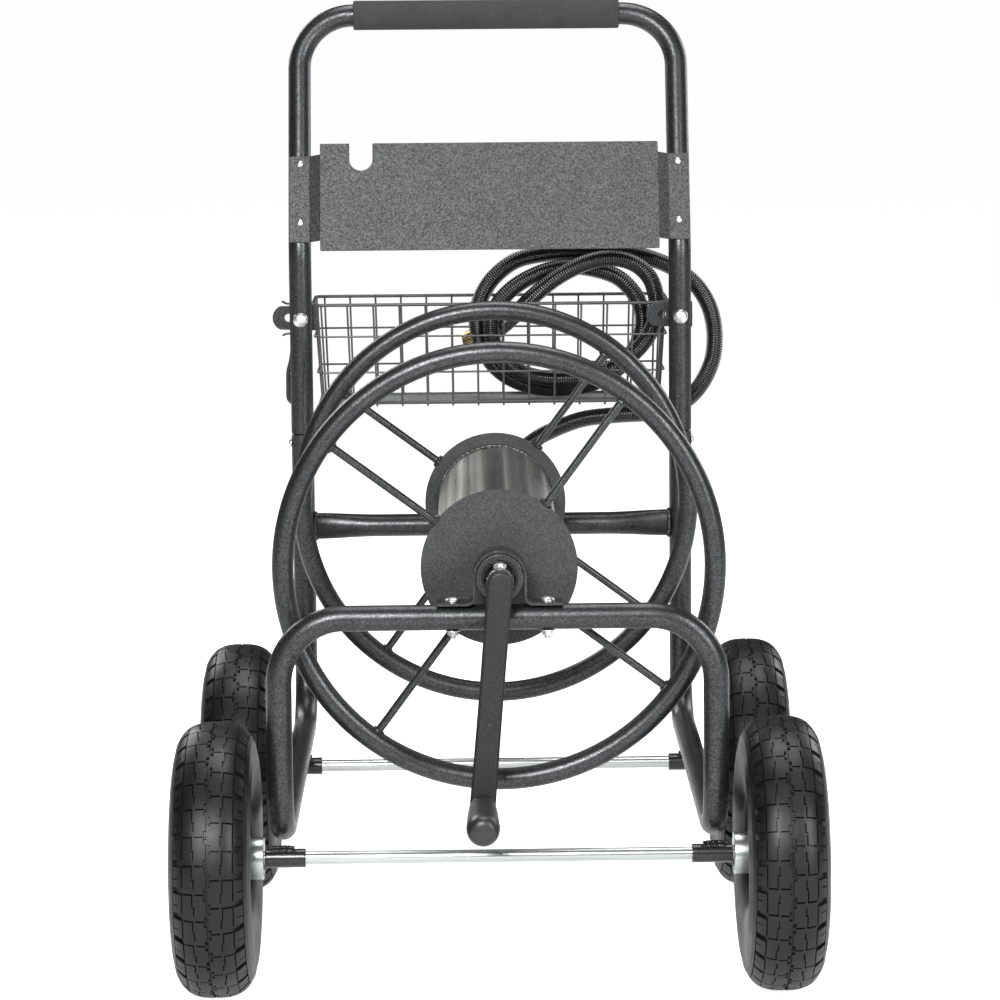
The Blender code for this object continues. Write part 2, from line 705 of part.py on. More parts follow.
def basket():
    """Front and rear grilles, two end grilles and a sheet floor, tapering downward."""
    height = BASKET_TOP_Z - BASKET_LOW_Z
    rows = [z - BASKET_LOW_Z for z in reversed(BASKET_ROWS)]
    front = grille(
        "basket_front", BASKET_HALF_W_LOW, BASKET_HALF_W_TOP, rows, BASKET_BAYS, height,
        BASKET_WIRE_PAINT,
    )
    front.location = (0, BASKET_FRONT_Y, BASKET_LOW_Z)
    front.rotation_euler = (math.pi / 2, 0, 0)
    # the rear grille leans outward toward the top
    run = BASKET_DEPTH_TOP - BASKET_DEPTH_LOW
    slope = math.atan2(run, height)
    long = math.hypot(run, height)
    rear = grille(
        "basket_rear", BASKET_HALF_W_LOW, BASKET_HALF_W_TOP,
        [r * long / height for r in rows], BASKET_BAYS, long, BASKET_WIRE_PAINT,
    )
    rear.location = (0, BASKET_FRONT_Y + BASKET_DEPTH_LOW, BASKET_LOW_Z)
    rear.rotation_euler = (math.pi / 2 - slope, 0, 0)
    # end grilles stand between front and rear
    lean = math.atan2(BASKET_HALF_W_TOP - BASKET_HALF_W_LOW, height)
    tall = math.hypot(BASKET_HALF_W_TOP - BASKET_HALF_W_LOW, height)
    clear = BASKET_WIRE / 2 + GAP
    low_span = BASKET_DEPTH_LOW - 2 * clear - 0.0004
    high_span = BASKET_DEPTH_TOP - 2 * clear - 0.0004
    for side, word in ((-1, "left"), (1, "right")):
        corner = [(0, 0), (low_span, 0), (high_span, tall), (0, tall)]
        outlines = [corner]
        levels = [0.0] + [r * tall / height for r in rows] + [tall]
        bar = BASKET_WIRE / 2
        for a, b in zip(levels, levels[1:]):
            low = a + (BASKET_WIRE if a == 0 else bar)
            high = b - (BASKET_WIRE if b == tall else bar)
            for k in range(BASKET_SIDE_BAYS):
                hole = []
                for h, step in ((low, 0), (low, 1), (high, 1), (high, 0)):
                    span = low_span + (high_span - low_span) * h / tall - 2 * BASKET_WIRE
                    y = BASKET_WIRE + span * (k + step) / BASKET_SIDE_BAYS
                    edge = (k + step) in (0, BASKET_SIDE_BAYS)
                    inset = 0.0 if edge else (bar if step == 0 else -bar)
                    hole.append((y + inset, h))
                outlines.append(hole)
        end = plate("basket_end_" + word, outlines, BASKET_WIRE, BASKET_WIRE_PAINT)
        inward = BASKET_HALF_W_LOW - BASKET_WIRE / 2 - 0.0006
        end.matrix_world = (
            Matrix.Translation((side * inward, BASKET_FRONT_Y + clear, BASKET_LOW_Z))
            @ Matrix.Rotation(side * lean, 4, "Y")
            @ Matrix(((0, 0, 1, 0), (1, 0, 0, 0), (0, 1, 0, 0), (0, 0, 0, 1)))
        )
    floor_depth = BASKET_DEPTH_LOW + BASKET_WIRE - 0.001
    box(
        "basket_floor",
        (2 * BASKET_HALF_W_LOW, floor_depth, BASKET_FLOOR_T),
        (
            0,
            BASKET_FRONT_Y - BASKET_WIRE / 2 + floor_depth / 2,
            BASKET_LOW_Z - GAP - BASKET_FLOOR_T / 2,
        ),
        BASKET_WIRE_PAINT,
    )


def bracket(word, x_low):
    """A small plate behind an upright, with a bolt hole beside the tube."""
    half = BRACKET_H / 2
    high = x_low + BRACKET_W
    nose = arc(x_low + half * 0.8, BOLT_Z, half, 115, 245, 8)
    outline = list(nose)
    outline += [(high, BOLT_Z - half), (high, BOLT_Z + half)]
    hole = arc(x_low + 0.0150, BOLT_Z, 0.0045, 0, 330, 11)
    plate_object = plate("basket_bracket_" + word, [outline, hole], BRACKET_T, HAMMERTONE)
    plate_object.location = (0, UPRIGHT_Y + TUBE_R + GAP + BRACKET_T / 2, 0)
    plate_object.rotation_euler = (math.pi / 2, 0, 0)


# ---------------------------------------------------------------- hose
def smooth(points, step):
    """Points at even spacing on a Catmull-Rom curve through the given points."""
    points = [Vector(p) for p in points]
    ends = [2 * points[0] - points[1], *points, 2 * points[-1] - points[-2]]
    fine = []
    for i in range(1, len(ends) - 2):
        p0, p1, p2, p3 = ends[i - 1 : i + 3]
        for k in range(24):
            t = k / 24
            fine.append(
                0.5 * (2 * p1 + (p2 - p0) * t + (2 * p0 - 5 * p1 + 4 * p2 - p3) * t * t
                       + (3 * p1 - p0 - 3 * p2 + p3) * t ** 3)
            )
    fine.append(points[-1])
    total = sum((b - a).length for a, b in zip(fine, fine[1:]))
    count = round(total / step)
    path = [fine[0]]
    walked = 0.0
    target = total / count
    for a, b in zip(fine, fine[1:]):
        piece = (b - a).length
        while walked + piece >= target - 1e-9 and len(path) < count:
            path.append(a + (b - a) * (target - walked) / piece)
            target += total / count
        walked += piece
    path.append(points[-1])
    return path


def hose_route():
    """From the elbow, under the basket, round its right end and into it, coiled twice."""
    start = Vector((REEL_X, ELBOW_Y, REEL_Z))
    way = Vector((math.cos(ELBOW_TURN), 0, math.sin(ELBOW_TURN)))
    exit_point = start + way * (ELBOW_REACH + GAP)
    route = [exit_point + way * 0.018]
    route += [(x, ELBOW_Y + back, z) for x, back, z in HOSE_WAY]
    return [exit_point, *smooth(route, HOSE_STEP)]


def hose():
    path = hose_route()
    tube("leader_hose", path, HOSE_R, HOSE_RUBBER, 8)
    way = (path[-1] - path[-2]).normalized()
    length = 0.0260
    profile = [(0.0120, length / 2), (0.0120, -length / 2), (0.0075, -length / 2)]
    profile += [(0.0075, length / 2)]
    nut = turned("hose_coupling", profile, (0, 0, 0), "Z", BRASS, 12)
    nut.rotation_mode = "QUATERNION"
    nut.rotation_quaternion = way.to_track_quat("Z", "Y")
    nut.location = path[-1] + way * (length / 2 + GAP)


def elbow():
    """The swivel inlet behind the shaft, turned up to the right."""
    way = Vector((math.cos(ELBOW_TURN), 0, math.sin(ELBOW_TURN)))
    centre = Vector((REEL_X, ELBOW_Y, REEL_Z))
    front = Vector((REEL_X, UPRIGHT_Y + 0.0200 + GAP, REEL_Z))
    path = fillet([front, centre, centre + way * ELBOW_REACH], [0.0120], 5)
    tube("inlet_elbow", path, 0.0108, BRASS, 12)


# ---------------------------------------------------------------- assembly
front_hoop()
side_tube("side_tube_left", -FRAME_X)
side_tube("side_tube_right", FRAME_X)
rear_crossbar()
handle_tube()
tool_panel()
for side, word in ((-1, "left"), (1, "right")):
    sleeve("axle_sleeve_front_" + word, side, FRONT_AXLE_Y)
    sleeve("axle_sleeve_rear_" + word, side, REAR_AXLE_Y)
    wheel("front_" + word, side, FRONT_AXLE_Y)
    wheel("rear_" + word, side, REAR_AXLE_Y)
    bolt(
        "handle_bolt_" + word, side * FRAME_X, UPRIGHT_Y - TUBE_R - GAP, BOLT_Z, "Y",
        0.0082, 0.0055, -1,
    )
    bolt(
        "joint_screw_" + word, side * (FRAME_X + TUBE_R + GAP), UPRIGHT_Y, JOINT_Z - 0.010,
        "X", 0.0050, 0.0030, side,
    )
axle("axle_front", FRONT_AXLE_Y)
axle("axle_rear", REAR_AXLE_Y)
bearing("front", HOOP_Y)
bearing("rear", UPRIGHT_Y)
reel()
basket()
bracket("left", -0.2410)
bracket("right", 0.1775)
elbow()
hose()
bpy.context.view_layer.update()
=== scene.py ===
"""Looks of the garden hose reel cart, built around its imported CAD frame.

+X is the cart's right, +Y its rear and +Z up, in metres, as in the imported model.
"""

import math

import bmesh
import bpy
import numpy as np
from mathutils import Matrix, Vector


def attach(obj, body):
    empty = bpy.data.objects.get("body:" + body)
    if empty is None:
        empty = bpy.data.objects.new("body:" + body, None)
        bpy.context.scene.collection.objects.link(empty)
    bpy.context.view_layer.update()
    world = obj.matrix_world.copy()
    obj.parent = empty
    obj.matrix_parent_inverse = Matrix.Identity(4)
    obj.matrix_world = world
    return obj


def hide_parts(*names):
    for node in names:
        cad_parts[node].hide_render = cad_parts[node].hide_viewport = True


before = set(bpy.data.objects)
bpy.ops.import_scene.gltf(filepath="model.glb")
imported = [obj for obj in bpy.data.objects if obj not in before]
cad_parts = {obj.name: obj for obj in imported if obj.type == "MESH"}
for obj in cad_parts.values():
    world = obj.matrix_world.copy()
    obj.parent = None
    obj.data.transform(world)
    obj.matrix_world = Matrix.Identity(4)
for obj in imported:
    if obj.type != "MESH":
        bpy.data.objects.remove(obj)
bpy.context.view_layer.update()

# ---- sizes, as in the CAD
GAP = 0.0003
AXLE_Z = 0.1335
TYRE_R = 0.1335
TRACK_X = 0.2756
HUB_R = 0.0200
HUB_IN = 0.0460
HUB_OUT = 0.0360
AXLE_R = 0.00635
FRONT_AXLE_Y = -0.2502
REAR_AXLE_Y = FRONT_AXLE_Y + 0.3870
HOOP_Y = FRONT_AXLE_Y - 0.0170
UPRIGHT_Y = FRONT_AXLE_Y + 0.5350
RING_FRONT_Y = FRONT_AXLE_Y + 0.0276
RING_REAR_Y = FRONT_AXLE_Y + 0.4344
TUBE_R = 0.0125
FRAME_X = 0.2116
HOOP_Z = 0.3740
SLEEVE_R = 0.0092
RAIL_Z = AXLE_Z + SLEEVE_R + TUBE_R + GAP
JOINT_Z = 0.4790
KINK_Z = 0.6850
TILT = math.radians(17.0)
HANDLE_TOP_Z = 0.9430
PANEL_LOW_Z = 0.6790
PANEL_H = 0.1220
REEL_X = 0.0028
REEL_Z = 0.4146
RING_R = 0.2111
RING_TUBE_R = 0.0106
DISC_R = 0.0768
DRUM_R = 0.0622
SPOKE_R = 0.0040
SPOKE_ANGLE = math.radians(53.4)
SHAFT_R = 0.0122
CRANK_Y = FRONT_AXLE_Y - 0.0600
CRANK_T = 0.0120
CRANK_HALF_W = 0.0125
CRANK_LENGTH = 0.2180
CRANK_SWING = math.radians(4.9)
BOLT_Z = 0.6080
BASKET_Y = UPRIGHT_Y + 0.0175
BASKET_TOP_Z = 0.6230
BASKET_LOW_Z = 0.5095
HOSE_R = 0.0095
ELBOW_Y = UPRIGHT_Y + 0.0390
ELBOW_TURN = math.radians(50.0)
ELBOW_REACH = 0.0340

X, Y, Z = Vector((1, 0, 0)), Vector((0, 1, 0)), Vector((0, 0, 1))
SIDES = ((-1, "left"), (1, "right"))
ENDS = (("front", FRONT_AXLE_Y), ("rear", REAR_AXLE_Y))
CORNERS = [(side, y) for side, _ in SIDES for _, y in ENDS]


def both(*stems):
    """Names of the CAD nodes that stand left and right."""
    return [f"{stem}_{word}" for stem in stems for _, word in SIDES]


def four(stem):
    """Names of the CAD nodes that stand at the cart's four corners."""
    return both(stem + "_front", stem + "_rear")


# ---- camera, fitted to the photograph
CAM_TURN = (1.056, 7.231, -0.439)  # degrees to the right, down and over
CAM_PLACE = (-0.0255, -3.4870, 0.9933)
CAM_LENS, CAM_SHIFT = 122.17, (-0.0306, -0.1003)


def camera():
    yaw, pitch, roll = (math.radians(a) for a in CAM_TURN)
    ahead = Vector((
        math.sin(yaw) * math.cos(pitch), math.cos(yaw) * math.cos(pitch), -math.sin(pitch)
    ))
    level = Vector((math.cos(yaw), -math.sin(yaw), 0))
    over = level.cross(ahead)
    right = level * math.cos(roll) + over * math.sin(roll)
    up = over * math.cos(roll) - level * math.sin(roll)
    data = bpy.data.cameras.new("camera")
    data.lens, data.sensor_width = CAM_LENS, 36
    data.shift_x, data.shift_y = CAM_SHIFT
    data.clip_start, data.clip_end = 0.05, 2000
    cam = bpy.data.objects.new("camera", data)
    turn = Matrix((right, up, -ahead)).transposed().to_4x4()
    cam.matrix_world = Matrix.Translation(CAM_PLACE) @ turn
    bpy.context.scene.collection.objects.link(cam)
    bpy.context.scene.camera = cam


camera()


# ---- materials
def wire(tree, made, wires):
    """Sets a node's inputs to numbers or links them to other nodes' outputs."""
    for key, value in wires.items():
        if isinstance(value, bpy.types.NodeSocket):
            tree.links.new(value, made.inputs[key])
        else:
            made.inputs[key].default_value = value
    return made


def node(tree, kind, wires, output, **settings):
    """The named output of a new shader node."""
    made = tree.nodes.new("ShaderNode" + kind)
    for key, value in settings.items():
        setattr(made, key, value)
    return wire(tree, made, wires).outputs[output]


def ramp(tree, fac, start, low, end, high):
    """Goes from one colour to another while fac goes from start to end."""
    made = tree.nodes.new("ShaderNodeValToRGB")
    for mark, place, colour in zip(made.color_ramp.elements, (start, end), (low, high)):
        mark.position = place
        mark.color = (*colour, 1.0)
    return wire(tree, made, {"Fac": fac}).outputs["Color"]


def grey(value, tint=(1.0, 1.0, 1.0)):
    return tuple(value * t for t in tint)


def noise(tree, place, scale, detail=3.0, distortion=0.0, roughness=0.5):
    return node(tree, "TexNoise", {
        "Vector": place, "Scale": scale, "Detail": detail, "Distortion": distortion,
        "Roughness": roughness,
    }, "Fac")


def spread(tree, fac, low, high, start=0.0, end=1.0):
    """Maps a texture from its range onto the range from low to high."""
    return node(tree, "MapRange", {
        "Value": fac, "From Min": start, "From Max": end, "To Min": low, "To Max": high,
    }, "Result")


def blank(name, settings):
    """A material with its node tree, its shader and metre coordinates that stay on the piece."""
    mat = bpy.data.materials.new(name)
    mat.use_nodes = True
    tree = mat.node_tree
    shader = wire(tree, tree.nodes["Principled BSDF"], settings)
    return mat, tree, shader, node(tree, "TexCoord", {}, "Object")


def surface(tree, shader, tone, shade, dull, relief, distance, strength):
    """Colour as tone times shade, roughness from dull and bumps from relief."""
    colour = node(tree, "MixRGB", {"Fac": 1.0, "Color1": tone, "Color2": shade}, "Color",
                  blend_type="MULTIPLY")
    normal = node(tree, "Bump", {"Height": relief, "Distance": distance, "Strength": strength},
                  "Normal")
    wire(tree, shader, {"Base Color": colour, "Roughness": dull, "Normal": normal})


def hammertone_paint(name, low, high, gloss=0.0, rough=(0.50, 0.62), metallic=0.3):
    """Silver-vein paint: bright worm-like veins on dark grey, with a hammered surface."""
    mat, tree, shader, place = blank(name, {
        "Metallic": metallic, "Coat Weight": gloss, "Coat Roughness": 0.14,
    })
    worm = noise(tree, place, 560.0, 2.0, 1.2, 0.55)
    soft = noise(tree, place, 28.0, 2.0)
    veins = ramp(tree, worm, 0.42, grey(low, (0.94, 1.0, 1.04)),
                 0.60, grey(high, (0.95, 1.0, 1.03)))
    shade = ramp(tree, soft, 0.3, grey(0.88), 0.7, grey(1.06))
    dull = spread(tree, worm, rough[1], rough[0], 0.35, 0.65)
    surface(tree, shader, veins, shade, dull, worm, 0.00020, 0.7)
    return mat


def plated(name, colour, low, high, scale, distance, stretch=(1, 1, 1), patch=0.12):
    """Bare or plated metal with drawn streaks and slow patches of tarnish."""
    mat, tree, shader, place = blank(name, {"Metallic": 1.0, "Coat Roughness": 0.1})
    drawn = node(tree, "Mapping", {"Vector": place, "Scale": stretch}, "Vector")
    streak = noise(tree, drawn, scale, 4.0, 0.2)
    cloud = noise(tree, drawn, 60.0, 3.0, 0.4)
    tone = ramp(tree, streak, 0.3, grey(1 - patch, colour), 0.7, colour)
    shade = ramp(tree, cloud, 0.35, grey(0.80), 0.65, grey(1.0))
    dull = spread(tree, cloud, low, high, 0.3, 0.7)
    surface(tree, shader, tone, shade, dull, streak, distance, 0.5)
    return mat


def moulded(name, low, high, rough, scale, distance, specular, tint=(1, 1, 1)):
    """Rubber, foam, plastic or powder coat: two tones of grain with a bumped surface."""
    mat, tree, shader, place = blank(name, {
        "Metallic": 0.0, "Specular IOR Level": specular, "Coat Roughness": 0.1,
    })
    grain = noise(tree, place, scale, 4.0, 0.2, 0.6)
    cloud = noise(tree, place, 34.0, 3.0, 0.3)
    tone = ramp(tree, grain, 0.35, grey(low, tint), 0.68, grey(high, tint))
    shade = ramp(tree, cloud, 0.35, grey(0.85), 0.65, grey(1.12))
    dull = spread(tree, cloud, rough[0], rough[1], 0.3, 0.7)
    surface(tree, shader, tone, shade, dull, grain, distance, 0.6)
    return mat


PAINT = hammertone_paint("hammertone", 0.032, 0.080, 0.08, (0.28, 0.42), 0.80)
DISC_PAINT = hammertone_paint("hammertone_disc", 0.024, 0.058)
PANEL_PAINT = hammertone_paint("hammertone_panel", 0.020, 0.090)
CRANK_PAINT = hammertone_paint("hammertone_crank", 0.008, 0.020, 0.0, (0.44, 0.58))
# a lighter copy of the same hammertone paint: painted light, so that the basket's floor sheet,
# which sits in shade, reads light grey
TRAY_PAINT_PAINTED_LIGHT = hammertone_paint("hammertone_tray_painted_light", 0.140, 0.300)
SLEEVE_PAINT = hammertone_paint("hammertone_dark", 0.006, 0.022, 0.5, (0.26, 0.40), 0.4)
ZINC = plated("zinc", (0.66, 0.70, 0.69), 0.26, 0.34, 900.0, 0.000002, (0.05, 1, 1))
BRIGHT = plated("bright_zinc", (0.80, 0.82, 0.82), 0.30, 0.42, 700.0, 0.00001)
STEEL = plated("bare_steel", (0.74, 0.73, 0.68), 0.18, 0.38, 120.0, 0.000001, (1, 0.003, 1), 0.30)
RIM = plated("rim_steel", (0.60, 0.62, 0.62), 0.32, 0.48, 500.0, 0.00005)
BRASS = plated("brass", (0.66, 0.50, 0.22), 0.22, 0.34, 600.0, 0.00001)
RUBBER = moulded("tyre_rubber", 0.003, 0.009, (0.34, 0.48), 1500.0, 0.00010, 0.32)
HOSE = moulded("hose_rubber", 0.004, 0.009, (0.18, 0.28), 1200.0, 0.00002, 0.70)
FOAM = moulded("foam", 0.018, 0.060, (0.80, 0.95), 1700.0, 0.00030, 0.30, (0.98, 1.0, 1.02))
GRIP = moulded("grip_plastic", 0.012, 0.020, (0.30, 0.42), 1400.0, 0.00006, 0.50)
WIRE = moulded("basket_wire", 0.030, 0.075, (0.34, 0.46), 800.0, 0.00006, 0.60)


# ---- mesh tools
class Form:
    """Vertices and faces of a piece while it is put together."""

    def __init__(self):
        self.verts = []
        self.faces = []

    def add(self, *shapes, matrix=None):
        for verts, faces in shapes:
            start = len(self.verts)
            if matrix is not None:
                verts = [matrix @ Vector(v) for v in verts]
            self.verts += [tuple(v) for v in verts]
            self.faces += [tuple(i + start for i in face) for face in faces]
        return self

    def mesh(self, name, mat, sharp=38):
        """A smooth mesh with its faces outwards; edges over sharp degrees stay hard."""
        mesh = bpy.data.meshes.new(name)
        mesh.from_pydata(self.verts, [], self.faces)
        form = bmesh.new()
        form.from_mesh(mesh)
        bmesh.ops.recalc_face_normals(form, faces=form.faces)
        form.to_mesh(mesh)
        form.free()
        mesh.shade_smooth()
        mesh.set_sharp_from_angle(angle=math.radians(sharp))
        mesh.materials.append(mat)
        return mesh

    def piece(self, name, mat, body="cart", slot=None, nodes=(), sharp=38):
        made = settle(bpy.data.objects.new(name, self.mesh(name, mat, sharp)), body, nodes)
        made.modifiers.new("face_normals", "WEIGHTED_NORMAL").keep_sharp = True
        return made


def settle(obj, body, nodes, place=None):
    """Puts a piece in the scene on its body, in place of its CAD nodes."""
    bpy.context.scene.collection.objects.link(obj)
    if place is not None:
        obj.matrix_world = place
    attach(obj, body)
    if nodes:
        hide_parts(*nodes)
    return obj


def circle(count):
    """The cosine and sine of even steps round a circle."""
    angles = [2 * math.pi * k / count for k in range(count)]
    return [(math.cos(a), math.sin(a)) for a in angles]


def basis(axis):
    """A unit axis and two unit directions square to it."""
    axis = Vector(axis).normalized()
    u = axis.orthogonal().normalized()
    return axis, u, axis.cross(u)


def distances(points):
    """The distance covered at each point of a path."""
    far = [0.0]
    for a, b in zip(points, points[1:]):
        far.append(far[-1] + (b - a).length)
    return far


def headings(line):
    """The direction of a 2-D line at each of its points."""
    last = len(line) - 1
    ends = [(Vector(line[max(0, i - 1)]), Vector(line[min(last, i + 1)])) for i in range(last + 1)]
    return [(b - a).normalized() for a, b in ends]


def grid_faces(rows, columns, loop_rows=False, loop_columns=True):
    """Quads between rings of vertices."""
    faces = []
    for i in range(rows if loop_rows else rows - 1):
        a, b = i * columns, (i + 1) % rows * columns
        for j in range(columns if loop_columns else columns - 1):
            k = (j + 1) % columns
            faces.append((a + j, a + k, b + k, b + j))
    return faces


def sweep(points, radius, sides=16, closed=False, up=None, chamfer=0.0):
    """A round bar along a path; a radius may be a number or, for each point, (side, up)."""
    points = [Vector(p) for p in points]
    radii = list(radius) if isinstance(radius, (list, tuple)) else [radius] * len(points)
    radii = [r if isinstance(r, (list, tuple)) else (r, r) for r in radii]
    if chamfer and not closed:
        first = (points[1] - points[0]).normalized()
        last = (points[-1] - points[-2]).normalized()
        points = [points[0], points[0] + first * chamfer, *points[1:-1],
                  points[-1] - last * chamfer, points[-1]]
        thin = [tuple(r - chamfer for r in radii[0]), tuple(r - chamfer for r in radii[-1])]
        radii = [thin[0], radii[0], *radii[1:-1], radii[-1], thin[1]]
    count = len(points)
    verts = []
    normal = None
    for i, point in enumerate(points):
        before = points[i - 1] if closed or i else points[0]
        after = points[(i + 1) % count] if closed or i < count - 1 else points[-1]
        way = (after - before).normalized()
        if normal is None:
            normal = Vector(up) if up is not None else way.orthogonal()
        normal = (normal - way * normal.dot(way)).normalized()
        aside = way.cross(normal)
        across, tall = radii[i]
        for c, s in circle(sides):
            verts.append(point + aside * (across * c) + normal * (tall * s))
    faces = grid_faces(count, sides, closed)
    if not closed:
        faces.append(tuple(range(sides)))
        faces.append(tuple(range((count - 1) * sides, count * sides)))
    return verts, faces


def lathe(profile, centre=(0, 0, 0), axis=(0, 0, 1), sides=40, closed=False):
    """A turned shape from (radius, height) points; a closed profile makes a ring."""
    (axis, u, w), centre = basis(axis), Vector(centre)
    verts, rings, faces = [], [], []
    for r, h in profile:
        rings.append((len(verts), r < 1e-7))
        if r < 1e-7:
            verts.append(centre + axis * h)
        else:
            verts += [centre + axis * h + (u * c + w * s) * r for c, s in circle(sides)]
    for i in range(len(rings) if closed else len(rings) - 1):
        (a, pole_a), (b, pole_b) = rings[i], rings[(i + 1) % len(rings)]
        for j in range(sides):
            k = (j + 1) % sides
            if pole_a:
                faces.append((a, b + k, b + j))
            elif pole_b:
                faces.append((a + j, a + k, b))
            else:
                faces.append((a + j, a + k, b + k, b + j))
    return verts, faces


def eased(profile, radius, steps=3, closed=True):
    """Rounds the corners of a 2-D outline, each by no more than its sides allow."""
    out = []
    count = len(profile)
    for i, corner in enumerate(profile):
        if not closed and i in (0, count - 1):
            out.append(tuple(corner))
            continue
        c = Vector(corner)
        a, b = Vector(profile[i - 1]) - c, Vector(profile[(i + 1) % count]) - c
        turn = a.angle(b)
        if turn > math.radians(172) or turn < 0.01:
            out.append(tuple(corner))
            continue
        reach = min(radius / math.tan(turn / 2), a.length * 0.45, b.length * 0.45)
        start, end = c + a.normalized() * reach, c + b.normalized() * reach
        for k in range(steps + 1):
            t = k / steps
            out.append(tuple(start * (1 - t) ** 2 + c * (2 * t * (1 - t)) + end * t * t))
    return out


def fillet(points, radii, steps=14):
    """Rounds the corners of a path; radii holds one radius for each inner point."""
    path = [Vector(points[0])]
    for i, radius in enumerate(radii, start=1):
        corner = Vector(points[i])
        a = (Vector(points[i - 1]) - corner).normalized()
        b = (Vector(points[i + 1]) - corner).normalized()
        half = a.angle(b) / 2
        centre = corner + (a + b).normalized() * radius / math.sin(half)
        start = corner + a * radius / math.tan(half)
        spin = (start - centre).cross(corner + b * radius / math.tan(half) - centre).normalized()
        turn = math.pi - 2 * half
        for k in range(steps + 1):
            path.append(centre + Matrix.Rotation(turn * k / steps, 3, spin) @ (start - centre))
    path.append(Vector(points[-1]))
    return path


def arc(cx, cy, radius, start, end, steps):
    turn = [math.radians(start + (end - start) * k / steps) for k in range(steps + 1)]
    return [(cx + radius * math.cos(a), cy + radius * math.sin(a)) for a in turn]


def axes(origin, x, y):
    """A matrix that puts a local XY plane at origin with the given directions."""
    x, y = Vector(x).normalized(), Vector(y).normalized()
    turn = Matrix((x, y, x.cross(y))).transposed().to_4x4()
    return Matrix.Translation(origin) @ turn


def slab(outline, thickness, edge=0.0006, holes=()):
    """A flat plate with eased edges: outlines in the local XY plane, middle at Z = 0."""
    curve = bpy.data.curves.new("slab", "CURVE")
    curve.dimensions = "2D"
    curve.fill_mode = "BOTH"
    curve.extrude = thickness / 2 - edge
    curve.bevel_depth = edge
    curve.bevel_resolution = 2
    curve.offset = -edge
    for line in (outline, *holes):
        spline = curve.splines.new("POLY")
        spline.points.add(len(line) - 1)
        for point, (x, y) in zip(spline.points, line):
            point.co = (x, y, 0.0, 1.0)
        spline.use_cyclic_u = True
    holder = bpy.data.objects.new("slab", curve)
    bpy.context.scene.collection.objects.link(holder)
    bpy.context.view_layer.update()
    made = bpy.data.meshes.new_from_object(
        holder.evaluated_get(bpy.context.evaluated_depsgraph_get())
    )
    form = bmesh.new()
    form.from_mesh(made)
    bmesh.ops.remove_doubles(form, verts=form.verts, dist=0.00002)
    shape = [v.co.copy() for v in form.verts], [tuple(v.index for v in f.verts) for f in form.faces]
    form.free()
    bpy.data.objects.remove(holder, do_unlink=True)
    bpy.data.curves.remove(curve)
    bpy.data.meshes.remove(made)
    return shape


def bead(points, radius, closed=True, sides=10):
    """A weld bead: an uneven bar laid along a joint."""
    points = [Vector(p) for p in points]
    ends = [*points, points[0]] if closed else points
    lengths = distances(ends)
    count = max(8, round(lengths[-1] / 0.0026) * 4)
    path, radii = [], []
    seg = 0
    for k in range(count if closed else count + 1):
        target = lengths[-1] * k / count
        while seg < len(ends) - 2 and lengths[seg + 1] < target:
            seg += 1
        t = (target - lengths[seg]) / max(1e-9, lengths[seg + 1] - lengths[seg])
        path.append(ends[seg].lerp(ends[seg + 1], t))
        wobble = 1 + 0.13 * math.sin(2 * math.pi * k / 4) + 0.08 * math.sin(k * 0.9 + 1.3)
        radii.append(radius * wobble)
    return sweep(path, radii, sides, closed)


def ring_points(centre, axis, radius, count=32, stretch=(1.0, 1.0), u=None):
    """Points round an axis; stretch makes an ellipse, along u and square to it."""
    axis, square, _ = basis(axis)
    u = Vector(u) if u is not None else square
    w = axis.cross(u)
    wide, tall = radius * stretch[0], radius * stretch[1]
    return [Vector(centre) + u * (wide * c) + w * (tall * s) for c, s in circle(count)]


def collar(centre, axis, inner, outer, low, high, ease, sides):
    """A turned ring with eased corners, from one height to another along its axis."""
    corners = [(inner, low), (outer, low), (outer, high), (inner, high)]
    return lathe(eased(corners, ease), centre, axis, sides, True)


def hex_nut(centre, axis, across, height, hole=0.0):
    """A chamfered hexagon whose base is at centre; hole is the radius of a bore."""
    axis, u, w = basis(axis)
    sides, flat, ease = 48, across / 2, height * 0.12
    sixth = math.pi / 3
    turn = [2 * math.pi * j / sides for j in range(sides)]
    corners = [flat / math.cos((a + math.pi / 6) % sixth - math.pi / 6) for a in turn]
    rows = [(0.0, [flat] * sides), (ease, corners), (height - ease, corners),
            (height, [flat] * sides)]
    if hole:
        rows += [(height, [hole] * sides), (0.0, [hole] * sides)]
    verts = [Vector(centre) + axis * h + (u * c + w * s) * r
             for h, radii in rows for r, (c, s) in zip(radii, circle(sides))]
    faces = grid_faces(len(rows), sides, bool(hole))
    if not hole:
        faces += [tuple(range(sides)), tuple(range(3 * sides, 4 * sides))]
    return verts, faces


def dome(centre, axis, radius, height, recess=0.0, sides=32, skirt=0.0006):
    """A domed bolt or rivet head whose base is at centre."""
    profile = [(0.0, 0.0), (radius - 0.0002, 0.0), (radius, 0.0002), (radius, skirt)]
    for k in range(1, 7):
        a = math.pi / 2 * k / 7
        profile.append((radius * math.cos(a), skirt + (height - skirt) * math.sin(a)))
    if recess:
        profile += [(recess * 1.15, height), (recess * 0.9, height - recess * 0.5)]
        profile += [(0.0, height - recess * 0.6)]
    else:
        profile.append((0.0, height))
    return lathe(profile, centre, axis, sides)


THREAD_R, THREAD_PITCH = 0.0029, 0.0010
WASHER_T, WASHER_BORE = 0.0012, 0.0034


def stub(centre, axis, length):
    """A threaded bolt end, as rings of thread."""
    profile = [(0.0, 0.0)]
    for k in range(max(2, int(length / THREAD_PITCH) - 1)):
        profile += [(THREAD_R * 0.86, k * THREAD_PITCH), (THREAD_R, (k + 0.5) * THREAD_PITCH)]
    profile += [(THREAD_R * 0.80, length), (0.0, length)]
    return lathe(profile, centre, axis, 24)


